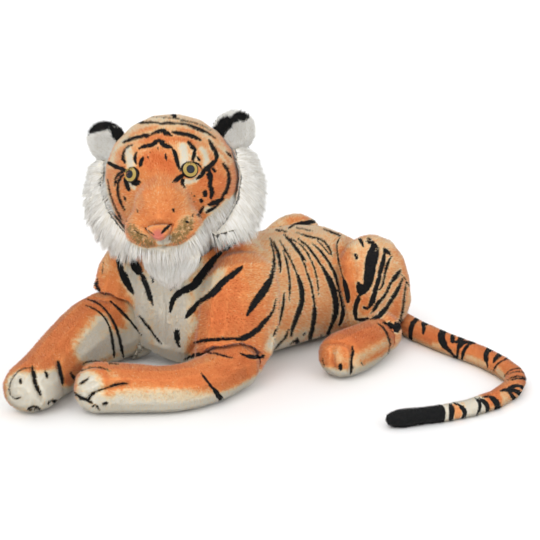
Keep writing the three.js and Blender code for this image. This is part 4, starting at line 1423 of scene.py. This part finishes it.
def build_strands(name, lines, widths, normals, choice):
    """Tapered three-sided strands along lines of points, each closed at its root and tip."""
    count, knots, _ = lines.shape
    tangents = unit(np.gradient(lines, axis=1))
    across = unit(np.cross(tangents, unit(rng.normal(size=(count, 1, 3)))))
    rise = np.cross(tangents, across)
    turns = np.arange(3)[:, None] * 2 * math.pi / 3
    spokes = across[:, :-1, None] * np.cos(turns) + rise[:, :-1, None] * np.sin(turns)
    thinner = (1 - (np.arange(knots - 1) / (knots - 1)) ** NARROWING)[None, :, None, None]
    rings = lines[:, :-1, None] + (widths[:, None, None, None] / 2) * thinner * spokes
    points = np.concatenate([rings.reshape(count, -1, 3), lines[:, -1:]], axis=1)
    tip = 3 * (knots - 1)
    faces = [(2, 1, 0)]
    for low in range(0, tip, 3):
        high = low + 3
        for i, j in ((0, 1), (1, 2), (2, 0)):
            if high == tip:
                faces.append((low + i, low + j, tip))
            else:
                faces += [(low + i, low + j, high + j), (low + i, high + j, high + i)]
    all_faces = np.array(faces)[None] + (tip + 1) * np.arange(count)[:, None, None]
    mesh = bpy.data.meshes.new(name)
    mesh.from_pydata(points.reshape(-1, 3), [], all_faces.reshape(-1, 3))
    for material in PILE:
        mesh.materials.append(material)
    mesh.polygons.foreach_set("material_index", np.repeat(choice, len(faces)).astype(np.int32))
    mesh.shade_smooth()
    mesh.normals_split_custom_set_from_vertices(np.repeat(normals, tip + 1, axis=0).tolist())
    return new_object(name, mesh)


def shade_choice(gap, tone, spread_tones=0.55):
    """The shade of each fibre: black or soot in a stripe, and else a tone near the fabric's."""
    count = len(gap)
    choice = np.round(tone + rng.normal(size=count) * spread_tones)
    choice = choice.clip(0, len(TONES) - 1).astype(int)
    dark = gap + rng.normal(size=count) * STRIPE_WANDER < STRIPE_EDGE
    soot = rng.uniform(size=count) < SOOT_SHARE
    return np.where(dark, np.where(soot, SOOT, BLACK), choice)


def white_choice(count, creamy=0.3):
    return np.where(rng.uniform(size=count) < creamy, PEARL, SNOW)


def short_pile(
    name, obj, reader, flow, spacing_mm, length_mm, width_mm, lean=0.55, skip=None, speckle_and_shade=None,
    speckle_and_shade_colours=("umber", "umber", "tan"),
):
    """Short upright pile on a skin. flow gives the way it leans at each place, and a fibre takes
    its shade from the print where its upper half stands."""
    area = triangle_areas(read_points(obj.data), read_triangles(obj.data)).sum()
    roots, normals = scatter(obj, int(area / (spacing_mm * QUALITY * MM) ** 2))
    if skip is not None:
        keep = ~skip(roots)
        roots, normals = roots[keep], normals[keep]
    ways = flow(roots)
    ways = unit(ways - (ways * normals).sum(1, keepdims=True) * normals)
    swirl = np.stack([mottle(roots, SWIRL_SIZE, s) for s in (21, 22, 23)], 1) * SWIRL
    aim = unit(normals + lean * ways + swirl + rng.normal(size=roots.shape) * UNEVEN)
    lengths = length_mm * MM * rng.uniform(*SHORT_LENGTHS, len(roots))[:, None]
    lines = np.stack([roots - normals * ROOT_DEPTH, roots + aim * lengths], 1)
    sweep = aim - (aim * normals).sum(1, keepdims=True) * normals
    seen = roots + sweep * lengths * SEEN_SHARE
    choice = shade_choice(*reader(seen))
    # Some fibres take the speckle colours: real speckles on the lips and pink on the nose, and on
    # the paws brown painted shade beside the dark lines.
    if speckle_and_shade is not None:
        marked = (rng.uniform(size=len(roots)) < speckle_and_shade(seen)) & (choice < len(TONES))
        shades = [SHADE_NAMES.index(s) for s in speckle_and_shade_colours]
        choice[marked] = rng.choice(shades, marked.sum())
    widths = width_mm * MM * rng.uniform(*SHORT_WIDTHS, len(roots))
    soft = unit(normals + SHADING_LEAN * aim + rng.normal(size=roots.shape) * SHADING_UNEVEN)
    return build_strands(name, lines, widths, soft, choice)


def long_pile(
    name, roots, aims, normals, length_mm, width_mm, droop, gather, choice, knots=5, per_tuft=22
):
    """Long soft pile in tufts: each strand bends down and leans towards its tuft's tip."""
    count = len(roots)
    lengths = (length_mm * MM * rng.uniform(*LONG_LENGTHS, count))[:, None, None]
    t = np.linspace(0, 1, knots)[None, :, None]
    lines = roots[:, None] + aims[:, None] * lengths * t + DOWN * droop * lengths * t**2
    tufts = rng.choice(count, max(1, count // per_tuft), replace=False)
    tree = kd_tree(roots[tufts], range(len(tufts)))
    near = tufts[[tree.find(place)[1] for place in roots.tolist()]]
    lines = lines + (lines[near][:, -1:] - lines[:, -1:]) * gather * t**GATHERING
    lines += rng.normal(size=(count, 1, 3)) * STRAY * t**STRAYING
    widths = width_mm * MM * rng.uniform(*LONG_WIDTHS, count)
    return build_strands(name, lines, widths, normals, choice)


# The ways that the pile leans
def steady(*way):
    return lambda points: np.tile(way, (len(points), 1))


def from_nose(points):
    return points - from_head(NOSE_PLACE)


def to_tip(points):
    return on_tail(points)[1]


BACK_AND_DOWN, TO_TOES = steady(0.0, 1.0, -0.45), steady(0.15, -1.0, -0.2)
TO_PAW = {"left": steady(-0.085, -0.255, -0.06), "right": steady(0.15, -0.28, -0.08)}

give_print(torso, torso_print)
give_print(head, head_print, speckle_at)
for side in SIDES:
    # The forelegs' stain is painted shade, brown beside the paws' dark lines
    give_print(legs[side], limb_print, paw_groove_shade)
    give_print(feet[side], limb_print)
give_print(tail, tail_print)
give_print(neck, white_print)

# Short piles: a spacing at full quality, a length and a width in mm. The torso's is parted at its
# seam and at its waist.
TORSO_PILE, LIMB_PILE = (2.05, 4.8, 1.7), (1.8, 4.4, 1.5)
HEAD_PILE, TAIL_PILE, NOSE_PILE = (1.55, 4.2, 1.3), (1.7, 3.6, 1.4), (1.0, 2.2, 1.1)
WAIST_Y = 0.0
TORSO_BOTTOM = 0.002


def off_quarter(sign, end):
    """A test for places off one quarter of the torso, or under it."""

    def test(roots):
        beyond = end * (roots[:, 1] - WAIST_Y) < 0
        return (sign * from_spine(roots) < 0) | beyond | (roots[:, 2] < TORSO_BOTTOM)

    return test


torso_pile = [
    short_pile(
        f"torso_pile_{side}_{end}", torso, torso_print, BACK_AND_DOWN, *TORSO_PILE,
        skip=off_quarter(sign, way),
    )
    for side, sign in SIDES.items()
    for end, way in (("front", -1), ("back", 1))
]
head_pile = {
    side: short_pile(
        f"head_pile_{side}", head, head_print, from_nose, *HEAD_PILE, 0.6,
        lambda roots: sign * in_head(roots)[:, 0] < 0, speckle_at,
    )
    for side, sign in SIDES.items()
}
# The forelegs' pile is browned beside the paws' dark lines as painted shade
leg_pile = {
    side: short_pile(
        f"foreleg_{side}_pile", legs[side], limb_print, TO_PAW[side], *LIMB_PILE, speckle_and_shade=paw_groove_shade
    )
    for side in SIDES
}
foot_pile = {
    side: short_pile(f"hind_foot_{side}_pile", feet[side], limb_print, TO_TOES, *LIMB_PILE)
    for side in SIDES
}

# The tail's fabric bends at three seams, so it is cut between them, each cut in a stretch that
# doesn't bend.
TAIL_CUTS = [-math.inf, 0.122, 0.343, math.inf]


def slice_of(obj, name, low, high):
    """The stretch of a closed skin between two places across, closed where it is cut."""
    shell = bmesh.new()
    shell.from_mesh(obj.data)
    for place, side in ((low, -1), (high, 1)):
        if math.isinf(place):
            continue
        parts = shell.verts[:] + shell.edges[:] + shell.faces[:]
        cut = bmesh.ops.bisect_plane(
            shell, geom=parts, plane_co=(place, 0, 0), plane_no=(side, 0, 0), clear_outer=True
        )
        edges = [part for part in cut["geom_cut"] if isinstance(part, bmesh.types.BMEdge)]
        bmesh.ops.holes_fill(shell, edges=edges, sides=0)
    bmesh.ops.triangulate(shell, faces=[f for f in shell.faces if len(f.verts) > 4])
    mesh = bpy.data.meshes.new(name)
    shell.to_mesh(mesh)
    shell.free()
    mesh.materials.append(PRINTED)
    mesh.shade_smooth()
    return new_object(name, mesh)


tail_pieces = []
for k, (low, high) in enumerate(zip(TAIL_CUTS, TAIL_CUTS[1:])):
    skin = slice_of(tail, f"tail_skin_{k}", low, high)
    pile = short_pile(
        f"tail_pile_{k}", tail, tail_print, to_tip, *TAIL_PILE, 0.7,
        lambda roots: (roots[:, 0] < low) | (roots[:, 0] > high),
    )
    tail_pieces.append((skin, pile))
bpy.data.objects.remove(tail)


# The ruff, the beard, and the long pile under the head that joins them
def ruff_aims(roots, normals, down=0.5):
    """Outwards in the plane of the face, back, and down under the cheeks."""
    local = in_head(roots)
    radial = unit(local * [1, 0, 1]) @ HEAD_AXES
    low = falling(local[:, 2], 0.02, 0.09)[:, None]
    return unit(radial * 0.7 + normals * 0.35 + HEAD_Y * 0.3 + DOWN * down * (0.5 + low))


def long_length(roots, side):
    """The pile's length in mm round the face: shorter below the ears than beside the chin."""
    up = in_head(roots)[:, 2] / MM
    down = falling(up, 20, 60)
    return (13 + 7 * down + 7 * falling(up, -45, 30)) if side == "left" else (9 + 16 * down)


def soft_normals(normals, aims):
    front = rising(-(normals @ HEAD_Y), 0, 1)[:, None]
    return unit(normals * 0.7 + aims * 0.15 - HEAD_Y * 0.3 * front - DOWN * 0.35)


def full_count(count):
    """A number of strands at full quality, as one for this quality."""
    return int(count / QUALITY**2)


ruffs, ruff_piles = {}, {}
RUFF_TUFTS = {"left": (0.22, 22), "right": (0.55, 34)}
for side in SIDES:
    gather, per_tuft = RUFF_TUFTS[side]
    ruffs[side] = closed_copy(f"ruff_{side}_base", [f"ruff_{side}"], 3, 7, 16)
    give_print(ruffs[side], white_print)
    roots, normals = scatter(ruffs[side], full_count(9000))
    aims = ruff_aims(roots, normals)
    ruff_piles[side] = long_pile(
        f"ruff_{side}_pile", roots, aims, soft_normals(normals, aims), long_length(roots, side),
        1.0, 0.2, gather, white_choice(len(roots)), per_tuft=per_tuft,
    )
beard = closed_copy("beard_base", ["beard"], 3, 6, 16)
give_print(beard, white_print)
roots, normals = scatter(beard, full_count(7600))
beard_x = in_head(roots)[:, :1] / MM
spread = HEAD_X * np.clip(beard_x / 45, -0.7, 0.7)
aims = unit(normals * 0.3 + DOWN - HEAD_Y * 0.1 - spread)
beard_lengths = 11 + 12 * np.exp(-((beard_x[:, 0] / 30) ** 2))
beard_pile = long_pile(
    "beard_pile", roots, aims, soft_normals(normals, aims), beard_lengths, 0.9, 0.12, 0.25,
    white_choice(len(roots)),
)

roots, normals = scatter(head, full_count(24000))
chosen = long_piled(roots) > 0.5
roots, normals = roots[chosen], normals[chosen]
aims = unit(ruff_aims(roots, normals, 0.8) + normals * 0.2)
under_lengths = 15 + 6 * falling(in_head(roots)[:, 2] / MM, -20, 50)
under_pile = long_pile(
    "under_pile", roots, aims, soft_normals(normals, aims), under_lengths, 0.95, 0.2, 0.22,
    white_choice(len(roots)),
)

roots, normals = scatter(neck, full_count(3600))
aims = unit(normals * 0.6 + DOWN * 0.8)
neck_pile = long_pile(
    "neck_pile", roots, aims, soft_normals(normals, aims), 15, 1.3, 0.1, 0.3,
    white_choice(len(roots)), knots=4,
)

# Ears
ears = {}
ear_fronts = {s: closed_copy(f"ear_front_{s}_skin", [f"ear_front_{s}"], 2, 1.5, 40) for s in SIDES}
ear_trees = [tree_of(front) for front in ear_fronts.values()]
ear_stripes = lay_stripes([(EAR_STRIPES, FACE_WINDOW, 1.0)], ear_trees)


def ear_roots(obj, count):
    """Places on an ear's skin with their normals and the share of the full pile that each has: the
    pile is short beside the head, so that it lies clear when the ear is folded."""
    places, leans = scatter(obj, full_count(count))
    apart = np.array([TREES["head"].find_nearest(place)[3] for place in places.tolist()]) / MM
    return places, leans, np.clip(0.25 + apart / 18, 0.3, 1)


for side, front in ear_fronts.items():
    back = closed_copy(f"ear_back_{side}_skin", [f"ear_back_{side}"], 2, 1.5, 10)
    give_print(front, ear_print)
    dress(back, black_fabric(f"ear_black_{side}"))
    roots, normals, full = ear_roots(front, 7000)
    aims = unit(normals * 0.7 + HEAD_Z * 0.7 + rng.normal(size=roots.shape) * 0.12)
    gap, tone = ear_print(roots + aims * 0.003)
    shades = shade_choice(gap, tone, 0.3)
    shades = np.where(shades < len(TONES), white_choice(len(roots), 0.15), shades)
    front_pile = long_pile(
        f"ear_front_{side}_pile", roots, aims, unit(normals - HEAD_Y + HEAD_Z), 8 * full, 1.0, 0.0,
        0.2, shades, knots=4,
    )
    roots, normals, full = ear_roots(back, 6000)
    aims = unit(normals + HEAD_Z * 0.4 + rng.normal(size=roots.shape) * 0.1)
    back_pile = long_pile(
        f"ear_back_{side}_pile", roots, aims, normals, 4.5 * full, 1.1, 0.0, 0.15,
        np.full(len(roots), BLACK), knots=3,
    )
    ears[side] = [front, back, front_pile, back_pile]

# Eyes: each ring's start as a share of the radius, and its plastic
EYE_RINGS = [0.0, 0.42, 0.5, 0.84]
EYE_PLASTICS = [
    plastic("eye_pupil", "0E1218", "1A2430", 300, 0.2),
    plastic("eye_ring", "15130F", "221F16", 500, 0.2),
    plastic("eye_iris", "BFA458", "8A7436", 700, 0.2),
    plastic("eye_rim", "121212", "1E1C1A", 300, 0.1),
]
EYE_AROUND, EYE_STEPS = 48, 20
# The dome's top below its solid's, its radius as a share of the solid's, its edge's roundness and
# the depth of its rim
EYE_SUNK, EYE_SHARE, EYE_ROUND, EYE_RIM = 2.6 * MM, 0.93, 0.97, 4 * MM


def node_points(name):
    return read_points(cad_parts[name].data)


def build_eye(side):
    """A dome on the axis from the eye's washer to its solid, in rings, closed behind."""
    washer = node_points(f"eye_washer_{side}").mean(0)
    offset = node_points(f"eye_{side}") - washer
    axis = unit(offset.mean(0))
    height = offset @ axis
    radial = np.linalg.norm(offset - height[:, None] * axis, axis=1)
    apex, radius = height.max() - EYE_SUNK, radial.max() * EYE_SHARE
    rise = apex - height[radial > 0.9 * radius].min()
    across = unit(np.cross(axis, [0, 0, 1.0]))
    turns = 2 * math.pi * np.arange(EYE_AROUND)[:, None] / EYE_AROUND
    circle = across * np.cos(turns) + np.cross(across, axis) * np.sin(turns)
    rings = []
    for share in np.arange(1, EYE_STEPS + 1) / EYE_STEPS:
        level = apex - rise * (1 - math.sqrt(1 - share**2 * EYE_ROUND))
        rings.append(washer + axis * level + radius * share * circle)
    rings.append(rings[-1] - axis * EYE_RIM)
    points = np.concatenate([[washer + axis * apex], *rings])
    faces, choice = [], []
    for k in range(EYE_STEPS + 1):
        low, high = 1 + (k - 1) * EYE_AROUND, 1 + k * EYE_AROUND
        for i in range(EYE_AROUND):
            j = (i + 1) % EYE_AROUND
            faces.append((low + i, high + i, high + j, low + j) if k else (0, 1 + i, 1 + j))
        ring = np.searchsorted(EYE_RINGS, (k + 0.5) / EYE_STEPS, "right") - 1
        choice += [ring] * EYE_AROUND
    faces.append(tuple(high + i for i in reversed(range(EYE_AROUND))))
    choice.append(len(EYE_RINGS) - 1)
    mesh = bpy.data.meshes.new(f"eye_{side}_dome")
    mesh.from_pydata(points.tolist(), [], faces)
    for material in EYE_PLASTICS:
        mesh.materials.append(material)
    mesh.polygons.foreach_set("material_index", np.array(choice, np.int32))
    mesh.shade_smooth()
    return new_object(f"eye_{side}_dome", mesh)


eyes = {side: build_eye(side) for side in SIDES}
give_print(nose, nose_print, nose_pink, NOSE_PRINTED)
nose_pile = short_pile(
    "nose_pile", nose, nose_print, from_nose, *NOSE_PILE, 0.6, None, nose_pink, ("pink",)
)

# Washers keep their own solids, inside the head
washer_plastic = plastic("washer_plastic", "DCDCD6", "C9C9C2", 80, 0.2)
for side in SIDES:
    dress(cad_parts[f"eye_washer_{side}"], washer_plastic)


def attach(obj, body, replaced=()):
    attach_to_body(obj, body)
    if replaced:
        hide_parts(*replaced)


attach(torso, "torso", TORSO_NODES)
for quarter in torso_pile:
    attach(quarter, "torso")
attach(head, "head", HEAD_NODES)
attach(under_pile, "head")
attach(neck, "neck", ["neck_stuffing"])
attach(neck_pile, "neck")
for side in SIDES:
    attach(head_pile[side], "head")
    attach(legs[side], f"foreleg_{side}", LEG_NODES[side])
    attach(leg_pile[side], f"foreleg_{side}")
    attach(feet[side], f"hind_foot_{side}", FOOT_NODES[side])
    attach(foot_pile[side], f"hind_foot_{side}")
    attach(ruffs[side], "head", [f"ruff_{side}"])
    attach(ruff_piles[side], "head")
    front, back, front_pile, back_pile = ears[side]
    attach(front, f"ear_{side}", [f"ear_front_{side}"])
    attach(back, f"ear_{side}", [f"ear_back_{side}"])
    attach(front_pile, f"ear_{side}")
    attach(back_pile, f"ear_{side}")
    attach(eyes[side], "head", [f"eye_{side}"])
attach(beard, "head", ["beard"])
attach(beard_pile, "head")
attach(nose, "head", ["nose"])
attach(nose_pile, "head")

# Each row is a stretch of the tail's fabric at its seam: the two bodies, the middle of the bend,
# and the way along the tail there, and the nodes that the stretch stands for. Each stretch is
# kept where it lies, and its nodes are hidden.
TAIL_BENDS = [
    ("torso", "tail_base", (0.0, 0.2325, 0.0373), (0.9, 0.43, 0.0), ["tail_base"]),
    ("tail_base", "tail_bend", (0.2446, 0.2247, 0.0188), (1.0, -0.05, 0.0), ["tail_bend"]),
    ("tail_bend", "tail_end", (0.4406, 0.1961, 0.0165), (0.79, -0.61, 0.0), TAIL_NODES[2:]),
]
BEND_REACH = 0.018
for pieces, (near, far, middle, way, nodes) in zip(tail_pieces, TAIL_BENDS):
    middle, way = np.array(middle), unit(np.array(way)) * BEND_REACH
    for piece in pieces:
        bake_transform(piece)
    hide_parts(*nodes)

# The stage
FLOOR_HALF = 60.0
PAPER, WHITE = (0.93, 0.93, 0.93, 1), (1, 1, 1, 1)
SKY_STRENGTH = 0.96
# Lamps: a place that each shines from, its strength and its spread in degrees
LAMPS = {"key": ((0.9, -2.0, 2.2), 0.85, 40), "fill": ((2.6, -0.4, 1.4), 0.5, 60)}


def build_floor():
    mesh = bpy.data.meshes.new("floor")
    turns = ((-1, -1), (1, -1), (1, 1), (-1, 1))
    mesh.from_pydata([(x * FLOOR_HALF, y * FLOOR_HALF, 0) for x, y in turns], [], [(0, 1, 2, 3)])
    floor = new_object("floor", mesh)
    paper, tree, shader = new_material("floor_paper", 0.9, specular=0.1)
    add_bump(tree, shader, 40, 0.02)
    feed(tree, shader, "Base Color", PAPER)
    dress(floor, paper)


def build_sky():
    """An even light, with a white backdrop where the camera looks past the toy."""
    scene.world = bpy.data.worlds.new("studio")
    scene.world.use_nodes = True
    tree = scene.world.node_tree
    sky = tree.nodes["Background"]
    feed(tree, sky, "Color", WHITE)
    feed(tree, sky, "Strength", SKY_STRENGTH)
    backdrop = add_node(tree, "Background", {"Color": WHITE})
    seen = add_node(tree, "LightPath").outputs["Is Camera Ray"]
    light = add_node(tree, "MixShader", {0: seen, 1: sky.outputs[0], 2: backdrop.outputs[0]})
    feed(tree, tree.nodes["World Output"], "Surface", light.outputs[0])


def build_lamps():
    for name, (place, power, spread_degrees) in LAMPS.items():
        data = bpy.data.lights.new(name, "SUN")
        data.energy, data.angle = power, math.radians(spread_degrees)
        lamp = new_object(name, data)
        lamp.rotation_euler = Vector(place).to_track_quat("Z", "Y").to_euler()


def build_camera():
    data = bpy.data.cameras.new("camera")
    data.lens, data.sensor_width = VIEW_FOCAL, SENSOR
    scene.camera = new_object("camera", data)
    scene.camera.location = VIEW_EYE
    scene.camera.rotation_euler = Vector(-VIEW_BACK).to_track_quat("-Z", "Y").to_euler()


build_floor()
build_sky()
build_lamps()
build_camera()
scene.view_settings.view_transform = "Standard"
